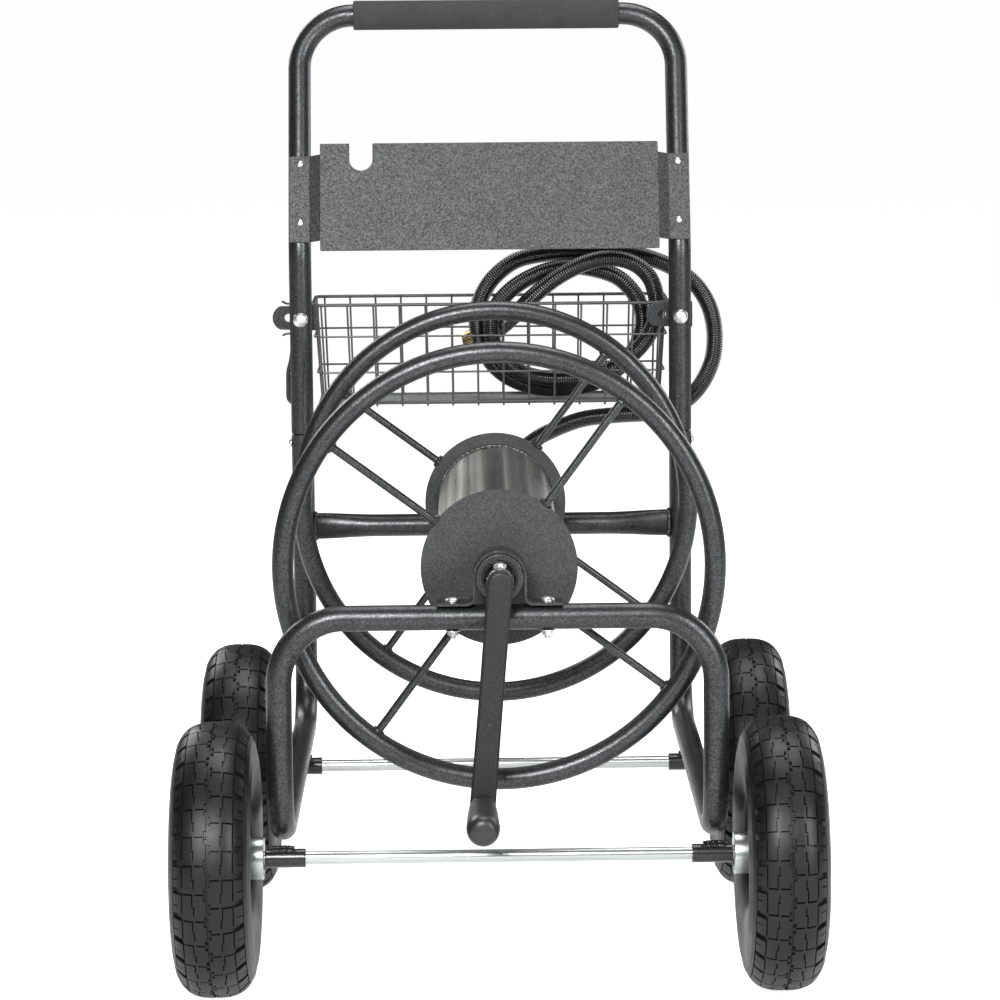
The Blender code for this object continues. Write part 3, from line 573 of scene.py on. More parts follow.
def nut_end(base, way, outer, sides, across, height, length):
    """A washer, a nut and the bolt's threaded end, one on top of the other."""
    return (collar(base, way, WASHER_BORE, outer, 0.0, WASHER_T, 0.0003, sides),
            hex_nut(base + way * WASHER_T, way, across, height),
            stub(base + way * (WASHER_T + height), way, length))


# ---- leader hose
# way-points in millimetres: across, behind the elbow, and up
HOSE_WAY = (
    # rising gently under the basket floor
    (60, 0, 470), (100, 0, 486), (140, 0.5, 491), (177, 1.5, 493), (208, 3, 499.5),
    # the arch outside the basket's right end
    (232.5, 6, 517), (249.5, 10, 546), (254.5, 14, 576), (250.5, 18.5, 606), (238, 23.5, 631),
    (221, 28, 647.5), (199, 31, 660), (169, 33, 670),
    # first turn, at the back
    (135, 32, 674), (101, 29.5, 674), (66, 27.5, 673), (31, 25, 666), (6, 22.5, 648.5),
    (-9, 20, 627), (-15, 18.5, 605.5), (-13.5, 18, 582), (-3, 18, 556), (17, 18, 535.5),
    (48, 18.5, 522.5), (85, 18.5, 520.5), (118, 17.5, 526.5), (146, 16, 544), (164, 14, 566),
    (172, 13, 589), (171, 12.5, 611), (161, 12.5, 631), (140, 12.5, 649),
    # second turn, in front of it
    (101, 12.5, 659), (66, 11.5, 655.5), (34, 9, 641.5), (12, 6, 622.5), (2, 4, 602), (2, 3, 580),
    (12, 2, 558), (32, 1, 542), (60, 0, 534), (90, -2, 533.5), (120, -4, 538.5),
    (148, -5.5, 551.5), (170, -6, 571), (183, -6, 592), (187.5, -6, 612), (186, -6.5, 631),
    (179.5, -7.5, 648), (167, -8.5, 661), (150, -9, 668.5), (130, -9, 670), (106, -9, 664.5),
    # the free end goes down through the loops and behind them
    (77, -8.5, 650), (53, -4, 631.5), (35, 6, 613), (21, 18, 598), (8.5, 29, 587),
    (-5, 37.5, 580.5),
)

def smooth(points, step):
    """Points at even spacing on a Catmull-Rom curve through the given points."""
    points = [Vector(p) for p in points]
    ends = [2 * points[0] - points[1], *points, 2 * points[-1] - points[-2]]
    fine = []
    for i in range(1, len(ends) - 2):
        p0, p1, p2, p3 = ends[i - 1 : i + 3]
        for k in range(24):
            t = k / 24
            fine.append(
                0.5 * (2 * p1 + (p2 - p0) * t + (2 * p0 - 5 * p1 + 4 * p2 - p3) * t * t
                       + (3 * p1 - p0 - 3 * p2 + p3) * t ** 3)
            )
    fine.append(points[-1])
    total = distances(fine)[-1]
    count = round(total / step)
    path = [fine[0]]
    walked = 0.0
    target = total / count
    for a, b in zip(fine, fine[1:]):
        piece = (b - a).length
        while walked + piece >= target - 1e-9 and len(path) < count:
            path.append(a + (b - a) * (target - walked) / piece)
            target += total / count
        walked += piece
    path.append(points[-1])
    return path


HOSE_OUT = Vector((math.cos(ELBOW_TURN), 0, math.sin(ELBOW_TURN)))
HOSE_EXIT = Vector((REEL_X, ELBOW_Y, REEL_Z)) + HOSE_OUT * (ELBOW_REACH + GAP)


def hose_route():
    """From the elbow, under the basket, round its right end and into it, coiled twice."""
    route = [HOSE_EXIT + HOSE_OUT * 0.018]
    route += [(x / 1000, ELBOW_Y + back / 1000, z / 1000) for x, back, z in HOSE_WAY]
    return [HOSE_EXIT, *smooth(route, 0.0040)]


def leader_hose():
    """Ribbed hose with a swivelling brass nut on its far end."""
    path = smooth(hose_route(), 0.00066)
    ribs = (1.0, 0.5, -0.8, 0.4)
    radii = [HOSE_R - 0.00036 + 0.00044 * ribs[k % 4] for k in range(len(path))]
    hose = Form().add(sweep(path, radii, 20)).piece(
        "leader_hose_ribbed", HOSE, "cart", "hose_rubber", ["leader_hose"], 60
    )
    line = path[::12]
    if line[-1] != path[-1]:
        line.append(path[-1])
    way = (path[-1] - path[-3]).normalized()
    low = path[-1] + way * GAP
    sides, flutes = 96, 16
    verts, faces = lathe([
        (0.0078, 0.0), (0.0104, 0.0), (0.0107, 0.0006), (0.0107, 0.0030), (0.0117, 0.0044),
        (0.0117, 0.0060), (0.0117, 0.0235), (0.0112, 0.0258), (0.0096, 0.0258),
        (0.0092, 0.0250), (0.0092, 0.0120), (0.0, 0.0120),
    ], low, way, sides)
    for i, v in enumerate(verts):
        if 4 <= i // sides <= 6:
            centre = low + way * (v - low).dot(way)
            flute = 0.0003 * math.cos(2 * math.pi * (i % sides) * flutes / sides)
            verts[i] = v + (v - centre).normalized() * flute
    coupling = Form().add((verts, faces)).piece(
        "hose_nut", BRASS, "cart", "brass", ["hose_coupling"]
    )
    ferrule = Form().add(collar(path[-1], way, 0.0097, 0.0104, -0.0200, -0.0005, 0.0004, 40))
    ferrule = ferrule.piece("hose_ferrule", ZINC, "cart", "zinc")


leader_hose()


# ---- frame
def frame_tubes():
    """The continuous bent tube: front hoop, rails under the reel and rear uprights."""
    path = fillet(
        [
            (-FRAME_X, UPRIGHT_Y, JOINT_Z), (-FRAME_X, UPRIGHT_Y, RAIL_Z),
            (-FRAME_X, HOOP_Y, RAIL_Z), (-FRAME_X, HOOP_Y, HOOP_Z), (FRAME_X, HOOP_Y, HOOP_Z),
            (FRAME_X, HOOP_Y, RAIL_Z), (FRAME_X, UPRIGHT_Y, RAIL_Z),
            (FRAME_X, UPRIGHT_Y, JOINT_Z),
        ],
        [0.060, 0.060, 0.064, 0.064, 0.060, 0.060],
    )
    Form().add(sweep(path, TUBE_R, 40, chamfer=0.0008)).piece(
        "frame_tube", PAINT, "cart", "hammertone",
        ["front_hoop", *both("side_tube")],
    )


def tilted(height, forward=0.0, x=0.0):
    y = UPRIGHT_Y + height * math.sin(TILT) - forward * math.cos(TILT)
    z = KINK_Z + height * math.cos(TILT) + forward * math.sin(TILT)
    return Vector((x, y, z))


SLOPE_RISE = (HANDLE_TOP_Z - KINK_Z) / math.cos(TILT)
SLOPE_UP = Vector((0, math.sin(TILT), math.cos(TILT)))
SLOPE_OUT = Vector((0, -math.cos(TILT), math.sin(TILT)))


def handle():
    low = JOINT_Z + GAP
    path = fillet(
        [
            (-FRAME_X, UPRIGHT_Y, low), (-FRAME_X, UPRIGHT_Y, KINK_Z),
            tilted(SLOPE_RISE, 0.0, -FRAME_X), tilted(SLOPE_RISE, 0.0, FRAME_X),
            (FRAME_X, UPRIGHT_Y, KINK_Z), (FRAME_X, UPRIGHT_Y, low),
        ],
        [0.08, 0.060, 0.060, 0.08],
    )
    Form().add(sweep(path, TUBE_R, 40, chamfer=0.0010)).piece(
        "handle_bent_tube", PAINT, "cart", "hammertone", ["handle_tube"]
    )
    top = tilted(SLOPE_RISE)
    bore = TUBE_R + GAP
    profile = [(bore, -0.1510), (0.0152, -0.1510), (0.0163, -0.1500), (0.0165, -0.1480)]
    profile += [(0.0165, z) for z in (-0.12, -0.06, 0.0, 0.06, 0.12)]
    profile += [(0.0165, 0.1450), (0.0163, 0.1470), (0.0152, 0.1480), (bore, 0.1480)]
    foam = Form().add(lathe(profile, top, X, 64, True)).piece(
        "handle_foam", FOAM, "cart", "foam", ["handle_foam_grip"]
    )


def crossbar():
    """Round in the middle and pressed taller and thinner where it meets the uprights."""
    reach = FRAME_X - TUBE_R + 0.0012
    points, radii = [], []
    for k in range(61):
        x = -reach + 2 * reach * k / 60
        end = max(0.0, (abs(x) - 0.128) / (reach - 0.128))
        end = end * end * (3 - 2 * end)
        points.append((x, UPRIGHT_Y, HOOP_Z))
        radii.append((TUBE_R * (1 - 0.36 * end), TUBE_R * (1 + 0.20 * end)))
    form = Form().add(sweep(points, radii, 36, up=Z))
    form.piece("rear_crossbar_tube", PAINT, "cart", "hammertone", ["rear_crossbar"])


def sleeves():
    bore, half = 0.0067, 0.01985
    profile = eased([(SLEEVE_R, -half), (SLEEVE_R, half), (bore, half), (bore, -half)], 0.0009)
    form = Form()
    for side, y in CORNERS:
        form.add(lathe(profile, (side * 0.20865, y, AXLE_Z), X, 36, True))
    form.piece("axle_sleeves", SLEEVE_PAINT, "cart", "hammertone", four("axle_sleeve"))


def frame_welds():
    """Beads under the rails along the sleeves, and round the crossbar's ends."""
    form = Form()
    for side, _ in SIDES:
        for _, y in ENDS:
            for fore in (-1, 1):
                line = [(side * (FRAME_X - 0.0115 + 0.0230 * k / 8), y + fore * 0.0062,
                         AXLE_Z + 0.0085 + 0.0008 * math.sin(math.pi * k / 8))
                        for k in range(9)]
                form.add(bead(line, 0.0021, False))
        x = side * (FRAME_X - TUBE_R - 0.0006)
        form.add(bead(
            ring_points((x, UPRIGHT_Y, HOOP_Z), X, 1.0, 40, (0.0146, 0.0086), Z), 0.0022
        ))
    form.piece("frame_welds", PAINT, "cart", "hammertone")


def axles():
    form, nuts = Form(), Form()
    reach = TRACK_X + HUB_OUT + 0.0060
    for _, y in ENDS:
        form.add(sweep([(x, y, AXLE_Z) for x in (-reach, 0, reach)], AXLE_R, 32, chamfer=0.0010))
    form.piece("axle_rods", ZINC, "cart", "zinc", ["axle_front", "axle_rear"])
    insert = [(0.0084, 0.0074), (0.0082, 0.0086), (0.0072, 0.0092), (0.0066, 0.0090),
              (0.0066, 0.0074)]
    for side, y in CORNERS:
        out = X * side
        base = Vector((side * (TRACK_X + HUB_OUT + 0.0002), y, AXLE_Z))
        nuts.add(collar(base, out, 0.0068, 0.0120, 0.0, 0.0016, 0.0003, 40),
                 hex_nut(base + out * 0.0017, out, 0.0180, 0.0058, 0.0066),
                 lathe(insert, base, out, 40))
    nuts.piece("axle_lock_nuts", BRIGHT, "cart", "zinc", four("axle_nut"))


def tool_panel():
    """A sheet with a tool notch, folded back at its ends to tabs on the tubes."""
    low = (PANEL_LOW_Z - KINK_Z) / math.cos(TILT)
    middle = tilted(low + PANEL_H / 2)
    half, wide, thick = PANEL_H / 2, 0.1880, 0.0015
    tab_out = TUBE_R + GAP + thick / 2
    face_out = TUBE_R + GAP + 0.0090 + thick / 2
    notch_x, notch_r, nick = -0.1425, 0.0128, 0.0008
    notch_low = half - 0.0310 + notch_r
    outline = [(-wide, half - 0.001), (-wide, -half + 0.0012), (-wide + 0.0012, -half),
               (wide - 0.0012, -half), (wide, -half + 0.0012), (wide, half - 0.0012),
               (wide - 0.0012, half), (notch_x + notch_r + nick, half),
               (notch_x + notch_r, half - nick)]
    outline += arc(notch_x, notch_low, notch_r, 0, -180, 20)
    outline += [(notch_x - notch_r, half - nick), (notch_x - notch_r - nick, half),
                (-wide + 0.001, half)]
    form = Form().add(slab(outline, thick, 0.0003),
                      matrix=axes(middle + SLOPE_OUT * face_out, X, SLOPE_UP))
    line = eased([(0.2225, tab_out), (0.2000, tab_out), (wide - 0.0010, face_out),
                  (wide - 0.0060, face_out)], 0.0030, 5, False)
    asides = [Vector((-way.y, way.x)) * (thick / 2 - 0.00002) for way in headings(line)]
    loop = [Vector(p) + aside for p, aside in zip(line, asides)]
    loop += [Vector(p) - aside for p, aside in zip(line, asides)][::-1]
    count, top = len(loop), 0.0980 / 2
    rows = ((-top, 0.00025), (-top + 0.0004, 0.0), (top - 0.0004, 0.0), (top, 0.00025))
    for side, _ in SIDES:
        verts = []
        for h, inset in rows:
            for p, mid in zip(loop, line + line[::-1]):
                q = p + (Vector(mid) - p).normalized() * inset
                verts.append(middle + X * (side * q.x) + SLOPE_OUT * q.y + SLOPE_UP * h)
        faces = grid_faces(4, count) + [tuple(range(count)), tuple(range(3 * count, 4 * count))]
        form.add((verts, faces))
    form.piece("tool_panel_sheet", PANEL_PAINT, "cart", "hammertone", ["tool_panel"], 30)
    rivets = Form()
    for side, _ in SIDES:
        for up in (0.0340, 0.1010):
            spot = tilted(low + up, TUBE_R + 0.0015 + 0.0004, side * 0.2105)
            rivets.add(dome(spot, SLOPE_OUT, 0.0039, 0.0024, 0.0012, 28, 0.0005))
    rivets.piece("panel_rivets", BRIGHT, "cart", "zinc",
                 [f"panel_screw_{w}_{k}" for _, w in SIDES for k in (1, 2)])


def upright_bolts():
    """Round-headed bolts through the uprights, with nuts behind, and the joint screws."""
    form = Form()
    for side, _ in SIDES:
        front = Vector((side * FRAME_X, UPRIGHT_Y - TUBE_R + 0.0004, BOLT_Z))
        back = Vector((side * FRAME_X, UPRIGHT_Y + TUBE_R + 0.0036, BOLT_Z))
        joint = Vector((side * (FRAME_X + TUBE_R - 0.0002), UPRIGHT_Y, JOINT_Z - 0.0100))
        form.add(dome(front, -Y, 0.0082, 0.0052, 0, 40, 0.0009),
                 *nut_end(back, Y, 0.0074, 36, 0.0100, 0.0050, 0.0050),
                 dome(joint, X * side, 0.0050, 0.0032, 0.0022, 32, 0.0008))
    form.piece("upright_bolts", BRIGHT, "cart", "zinc", both("handle_bolt", "joint_screw"))


frame_tubes()
handle()
crossbar()
sleeves()
frame_welds()
axles()
tool_panel()
upright_bolts()


# ---- bearings
def bearings():
    """Bearing tubes in omega straps, bolted down on the hoop and on the crossbar."""
    tubes, straps, bushes, bolts = Form(), Form(), Form(), Form()
    base = HOOP_Z + TUBE_R + GAP
    thick, wide, inner = 0.0028, 0.0250, 0.0233
    outer, foot, bend, span = inner + thick, base - REEL_Z, 0.0060, 0.0610
    right_in = arc(outer + bend, foot + thick + bend, bend + thick, 180, 270, 8)
    right_out = arc(outer + bend, foot + thick + bend, bend, 180, 270, 8)
    outline = arc(0, 0, outer, 0, 180, 30) + [(-x, z) for x, z in right_out]
    outline += [(-span, foot + thick), (-span, foot)]
    outline += [(-x, z) for x, z in reversed(right_in)]
    outline += arc(0, 0, inner, 180, 0, 30) + right_in
    outline += [(span, foot), (span, foot + thick)] + list(reversed(right_out))
    for y in (HOOP_Y, UPRIGHT_Y):
        centre = Vector((REEL_X, y, REEL_Z))
        tubes.add(lathe(eased([(0.0230, 0.0150), (0.0230, -0.0150), (0.0168, -0.0150),
                               (0.0168, 0.0150)], 0.0010), centre, Y, 56, True))
        bushes.add(lathe(eased([(0.0168, 0.0156), (0.0168, -0.0156), (0.0156, -0.0156),
                                (0.0156, 0.0156)], 0.0003), centre, Y, 56, True))
        straps.add(slab(outline, wide, 0.0005), matrix=axes(centre, X, Z))
        for side, _ in SIDES:
            x = REEL_X + side * 0.0455
            under = Vector((x, y, HOOP_Z - TUBE_R + 0.0002))
            bolts.add(dome((x, y, base + thick), Z, 0.0072, 0.0042, 0, 36, 0.0008),
                      *nut_end(under, -Z, 0.0072, 32, 0.0096, 0.0042, 0.0034))
    tubes.piece("bearing_tubes", PAINT, "cart", "hammertone", ["bearing_front", "bearing_rear"])
    bushes.piece("bearing_bushes", GRIP, "cart", "grip_plastic")
    straps.piece("bearing_omega_straps", PAINT, "cart", "hammertone",
                 ["bearing_strap_front", "bearing_strap_rear"], 30)
    bolts.piece("bearing_bolts", BRIGHT, "cart", "zinc", four("strap_bolt"))


def inlet():
    """The brass swivel behind the shaft: a hexagon collar, the bend and the hose's ferrule."""
    centre = Vector((REEL_X, ELBOW_Y, REEL_Z))
    front = Vector((REEL_X, UPRIGHT_Y + 0.0203, REEL_Z))
    form = Form().add(
        sweep(fillet([front, centre, centre + HOSE_OUT * (ELBOW_REACH - 0.0010)], [0.0130], 10),
              0.0100, 32, chamfer=0.0006),
        hex_nut(front, Y, 0.0208, 0.0070),
        hex_nut(centre + HOSE_OUT * 0.0130, HOSE_OUT, 0.0204, 0.0080),
    )
    form.piece("inlet_swivel", BRASS, "cart", "brass", ["inlet_elbow"])
    profile = [(0.0097, 0.0), (0.0108, 0.0)]
    for k in range(3):
        low = 0.0030 + 0.0046 * k
        profile += [(0.0108, low), (0.0103, low + 0.0008), (0.0103, low + 0.0016),
                    (0.0108, low + 0.0024)]
    profile += [(0.0108, 0.0176), (0.0104, 0.0180), (0.0097, 0.0180)]
    Form().add(lathe(profile, HOSE_EXIT - HOSE_OUT * 0.0006, HOSE_OUT, 40, True)).piece(
        "inlet_ferrule", ZINC, "cart", "zinc"
    )


bearings()
inlet()


# ---- reel
def reel_axis(y):
    return Vector((REEL_X, y, REEL_Z))


def rings():
    """Two rings of tube, each with four slim spokes welded to its disc."""
    welds = Form()
    for word, y, sign in (("front", RING_FRONT_Y, -1), ("rear", RING_REAR_Y, 1)):
        form = Form()
        form.add(sweep(ring_points(reel_axis(y), Y, RING_R, 144), RING_TUBE_R, 28, True))
        for k in range(4):
            a = SPOKE_ANGLE + k * math.pi / 2
            way = Vector((math.cos(a), 0, math.sin(a)))
            start, end = reel_axis(y) + way * (DISC_R - 0.0010), reel_axis(y) + way * RING_R
            form.add(sweep([start, start.lerp(end, 0.3), start.lerp(end, 0.7), end], SPOKE_R, 20))
            seat = reel_axis(y) + way * (RING_R - RING_TUBE_R + 0.0006)
            welds.add(bead(ring_points(seat, way, 0.0044, 20), 0.0021, sides=8))
            side = way.cross(Y)
            foot = reel_axis(y) + way * (DISC_R + 0.0008)
            welds.add(bead(ring_points(foot, way, 1.0, 20, (0.0050, 0.0036), side), 0.0020,
                           sides=8))
        form.piece("ring_" + word + "_tube", PAINT, "reel", "hammertone", ["ring_" + word])
        out = 0.0021
        plate = collar(reel_axis(y), Y, 0.0119, DISC_R, out, -out, 0.0010, 96)
        Form().add(plate).piece(
            "disc_" + word + "_plate", DISC_PAINT, "reel", "hammertone", ["disc_" + word], 25
        )
        inward = y - sign * (out + 0.0006)
        welds.add(bead(ring_points(reel_axis(inward), Y, DRUM_R + 0.0006, 96), 0.0016, sides=8))
    welds.piece("reel_welds", PAINT, "reel", "hammertone")


def drum():
    """A rolled sheet drum, a hair out of true, with its lengthwise seam."""
    half, lip = (RING_REAR_Y - RING_FRONT_Y) / 2 - 0.0024, 0.004
    rows = [-half, -half + lip, *(-half + 2 * half * k / 24 for k in range(1, 24)), half - lip,
            half]
    sides = 180
    seam = {50: 0.0004, 51: 0.0009, 52: 0.0004}
    centre = reel_axis((RING_REAR_Y + RING_FRONT_Y) / 2)
    verts = []
    for h in rows:
        for j in range(sides):
            a = 2 * math.pi * j / sides
            r = DRUM_R + 0.00022 * math.sin(5 * a + 9 * h) + 0.00012 * math.sin(11 * a - 23 * h)
            r -= seam.get(j, 0.0)
            verts.append(centre + Vector((r * math.cos(a), h, r * math.sin(a))))
    form = Form().add((verts, grid_faces(len(rows), sides)))
    form.piece("drum_sheet", STEEL, "reel", "bare_steel", ["drum"], 50)


def shaft_and_crank():
    front = CRANK_Y + CRANK_T / 2
    back = UPRIGHT_Y + 0.0200
    shaft = Form()
    shaft.add(lathe(eased([(0.0, front - 0.0010), (SHAFT_R - 0.0004, front - 0.0010),
                           (SHAFT_R, front), (SHAFT_R, back), (0.0, back)], 0.0008, 3, False),
                    (REEL_X, 0, REEL_Z), Y, 48))
    shaft.piece("reel_shaft_tube", PAINT, "reel", "hammertone", ["reel_shaft"])
    down = Vector((-math.sin(CRANK_SWING), 0, -math.cos(CRANK_SWING)))
    top = reel_axis(CRANK_Y)
    foot = top + down * CRANK_LENGTH
    aside = down.cross(Y)
    def flank(side, steps):
        """One long edge of the arm, a shade narrower between its ends."""
        return [(side * (CRANK_HALF_W - 0.0006 * math.sin(math.pi * t)), -CRANK_LENGTH * t)
                for t in (k / 12 for k in steps)]

    outline = arc(0, 0, CRANK_HALF_W, 0, 180, 24) + flank(-1, range(1, 12))
    outline += arc(0, -CRANK_LENGTH, CRANK_HALF_W, 180, 360, 24) + flank(1, range(11, 0, -1))
    arm = Form().add(slab(outline, CRANK_T, 0.0040), matrix=axes(top, aside, -down))
    arm.piece("crank_arm_bar", CRANK_PAINT, "reel", "hammertone", ["crank_arm"], 50)
    dimple = dome(top + down * 0.1370 - Y * (CRANK_T / 2 - 0.0002), -Y, 0.0022, 0.0010, 0, 20,
                  0.0003)
    Form().add(dimple).piece("crank_dimple", PAINT, "reel", "hammertone")
    small = Form().add(
        dome((REEL_X, CRANK_Y + 0.0165, REEL_Z + SHAFT_R - 0.0003), Z, 0.0062, 0.0047, 0.0030,
             32, 0.0022),
        dome(foot + Y * (CRANK_T / 2 - 0.0002), Y, 0.0070, 0.0030, 0, 28, 0.0008),
    )
    small.piece("crank_screws", BRIGHT, "reel", "zinc", ["crank_bolt"])
    bead_line = ring_points((REEL_X, front + 0.0002, REEL_Z), Y, SHAFT_R, 40)
    Form().add(bead(bead_line, 0.0014, sides=8)).piece(
        "crank_weld", PAINT, "reel", "hammertone"
    )
    grip_y = CRANK_Y - CRANK_T / 2
    profile = [(0.0, 0.0), (0.0118, 0.0), (0.0130, 0.0010), (0.0136, 0.0040), (0.0128, 0.0070)]
    profile += [(0.0134, 0.0110), (0.0144, 0.0220), (0.0150, 0.0380), (0.0152, 0.0500)]
    profile += [(0.0156, 0.0640), (0.0160, 0.0750), (0.0158, 0.0820), (0.0148, 0.0880)]
    profile += [(0.0126, 0.0925), (0.0090, 0.0945), (0.0046, 0.0952), (0.0, 0.0953)]
    grip = Form().add(lathe(profile, (foot.x, grip_y - GAP, foot.z), -Y, 56))
    made = grip.piece("crank_grip_handle", GRIP, "crank_handle", "grip_plastic", ["crank_grip"])
    made.modifiers.new("round", "SUBSURF").levels = 1
    made.modifiers["round"].render_levels = 1


rings()
drum()
shaft_and_crank()


# ---- wheels
PITCHES = 31
PITCH = 2 * math.pi / PITCHES
CROWN = 0.0450
HALF_W = 0.0390
ROUND = 2 / 2.83  # how square the tyre's section is; 1 is an ellipse
DEPTH = 0.0032
LONG = 27.0  # millimetres along the tread in one pitch
EASE = 0.16  # half the width of a groove's wall
# the first groove that fits counts: from and to, out from the centre and along one pitch,
# in millimetres, and the share of the full depth
GROOVES = (
    (0.0, 0.9, 0.0, LONG, 0.8), (2.6, 11.4, 0.0, 1.5, 1.0), (13.8, 23.4, 0.0, 1.5, 1.0),
    (12.2, 13.2, 6.6, 15.4, 0.85), (12.2, 14.8, 14.4, 15.4, 0.85), (13.8, 14.8, 16.8, LONG, 0.85),
    (0.9, 3.2, 21.5, 26.2, 0.8), (0.9, 3.2, 2.8, 6.6, 0.8), (24.2, 25.2, 0.0, LONG, 0.55),
    (27.0, 37.0, 0.0, 6.6, 1.0), (25.2, 27.0, 0.0, 6.6, 0.6), (30.0, 37.0, 14.4, 15.4, 0.7),
    (37.0, 38.2, 0.0, LONG, 0.55),
)


def section(a):
    """A point (radius, offset) on the tyre's outline; a runs from 0 at the crown."""
    c, s = math.cos(a), math.sin(a)
    r = TYRE_R - CROWN + CROWN * math.copysign(abs(c) ** ROUND, c)
    return r, HALF_W * math.copysign(abs(s) ** ROUND, s)


def section_table():
    """Distance round the outline from the crown, with the point reached."""
    rows = [(0.0, TYRE_R, 0.0)]
    for k in range(1, 901):
        r, z = section(math.pi / 2 * 1.36 * k / 900)
        far, pr, pz = rows[-1]
        rows.append((far + math.hypot(r - pr, z - pz), r, z))
    return np.array(rows)


def tread_depth(s, t):
    """Groove depth, 0 to 1, at s millimetres out from the centre and t along the tread."""
    t = t % LONG
    for s0, s1, t0, t1, depth in GROOVES:
        if s0 <= s <= s1 and t0 <= t <= t1:
            return depth
    return 0.0


def tyre_mesh():
    """Tread blocks cut as grooves in the carcass, with steep walls, down to the beads."""
    marks = (0.0, 1.5, 2.8, 6.6, 14.4, 15.4, 16.8, 21.5, 26.2)
    lines = sorted({round((m + shift) % LONG, 3) for m in marks for shift in (0.0, LONG / 2)})
    ts = [m + wall for m in lines for wall in (-EASE, EASE)]
    edges = (0.9, 2.6, 3.2, 11.4, 12.2, 13.2, 13.8, 14.8, 23.4, 24.2, 25.2, 27.0, 30.0, 37.0,
             38.2)
    ss = sorted([0.0, 7.2, 19.0, 33.5, *(m + wall for m in edges for wall in (-EASE, EASE))])
    ss = [s for i, s in enumerate(ss) if i == 0 or s - ss[i - 1] > 0.2]
    table = section_table()
    end = table[-1][0]
    ss += [w for w in (41.0, 44.0, 47.5, 51.0, 54.5, 58.0, 61.0) if w < end * 1000 - 1]
    ss.append(end * 1000 - 0.6)

    def outline_at(far):
        return [np.interp(far, table[:, 0], table[:, k]) for k in (1, 2)]

    profile = []
    for s in [-s for s in ss[:0:-1]] + ss:
        a = abs(s) / 1000
        side = -1 if s < 0 else 1
        way = 1 if a + 0.0002 <= end else -1
        r, z = outline_at(a)
        r2, z2 = outline_at(a + way * 0.0002)
        dr, dz = way * (r2 - r), way * (z2 - z)
        size = math.hypot(dr, dz) or 1.0
        rib = 0.0005 if 43 < abs(s) < 45 or 53 < abs(s) < 56 else 0.0
        profile.append((s, r, side * z, dz / size, side * (-dr / size), rib))
    turn = [(p + t / LONG) * PITCH for p in range(PITCHES) for t in ts]
    verts = []
    for row, angle in enumerate(turn):
        ca, sa = math.cos(angle), math.sin(angle)
        t = ts[row % len(ts)]
        for s, r, z, nr, nz, rib in profile:
            # the pattern on one side stands half a pitch on from the other's
            move = rib - DEPTH * tread_depth(abs(s), t + (LONG / 2 if s < 0 else 0.0))
            rr = r + nr * move
            verts.append((z + nz * move, rr * ca, rr * sa))
    count, rows = len(profile), len(turn)
    faces = grid_faces(rows, count, True, False)
    # inner wall from bead to bead, hidden by the rim
    start = len(verts)
    bead_r, bead_z = profile[-1][1] - 0.0060, abs(profile[-1][2]) - 0.004
    for angle in turn:
        verts += [(z, bead_r * math.cos(angle), bead_r * math.sin(angle))
                  for z in (-bead_z, bead_z)]
    for i in range(rows):
        j = (i + 1) % rows
        a0, a1 = start + 2 * i, start + 2 * j
        faces += [(i * count, j * count, a1, a0), (a0, a1, a1 + 1, a0 + 1),
                  (a0 + 1, a1 + 1, j * count + count - 1, i * count + count - 1)]
    return Form().add((verts, faces)).mesh("tyre", RUBBER, 32)


def rim_form():
    """A pressed two-part rim; the local X axis points outboard."""
    form = Form()
    half = [(0.0590, 0.0272), (0.0602, 0.0284), (0.0596, 0.0300), (0.0580, 0.0300),
            (0.0566, 0.0288), (0.0556, 0.0262), (0.0520, 0.0250), (0.0500, 0.0225),
            (0.0492, 0.0120), (0.0470, 0.0060), (0.0455, 0.0035)]
    web = [(0.0400, 0.0035), (0.0360, 0.0050), (0.0330, 0.0085), (0.0290, 0.0120),
           (0.0250, 0.0132), (0.0200, 0.0134)]
    thick = 0.0018
    line = half + web
    for sign in (-1, 1):
        outer = [(r, sign * h) for r, h in line]
        inner = [(r + way.y * thick, sign * (h - way.x * thick))
                 for (r, h), way in zip(line, headings(line))]
        form.add(lathe(outer + inner[::-1], (0, 0, 0), X, 72, True))
    return form


def hub_form():
    """The hub tube with rolled bearing cups at both ends."""
    r, far, near, cup, lip = HUB_R, HUB_OUT, -HUB_IN, 0.0006, 0.0016
    profile = [(r + cup, far), (r + cup, far - 0.0110), (r - 0.0010, far - 0.0125),
               (r - 0.0010, near + 0.0160), (r + cup, near + 0.0145), (r + cup, near),
               (r - 0.0024, near), (r - 0.0030, near + lip), (0.0078, near + lip),
               (0.0068, near), (0.0067, far), (0.0078, far - lip), (r - 0.0030, far - lip),
               (r - 0.0024, far)]
    return Form().add(lathe(eased(profile, 0.0007), (0, 0, 0), X, 64, True))


def stud_form():
    """Four bolts that hold the rim halves together."""
    form = Form()
    for k in range(4):
        a = math.pi / 4 + k * math.pi / 2
        spot = Vector((0, 0.0425 * math.cos(a), 0.0425 * math.sin(a)))
        form.add(hex_nut(spot + X * 0.0036, X, 0.0090, 0.0046),
                 hex_nut(spot - X * 0.0036, -X, 0.0090, 0.0046),
                 stub(spot + X * 0.0082, X, 0.0030))
    return form


def valve_form():
    spot = Vector((0.0130, 0.0480, 0.0))
    way = Vector((1.0, -0.35, 0.0)).normalized()
    profile = [(0.0, 0.0), (0.0046, 0.0), (0.0042, 0.0030), (0.0030, 0.0075), (0.0028, 0.0130)]
    profile += [(0.0036, 0.0135), (0.0036, 0.0215), (0.0030, 0.0230), (0.0, 0.0230)]
    return Form().add(lathe(profile, spot, way, 28))


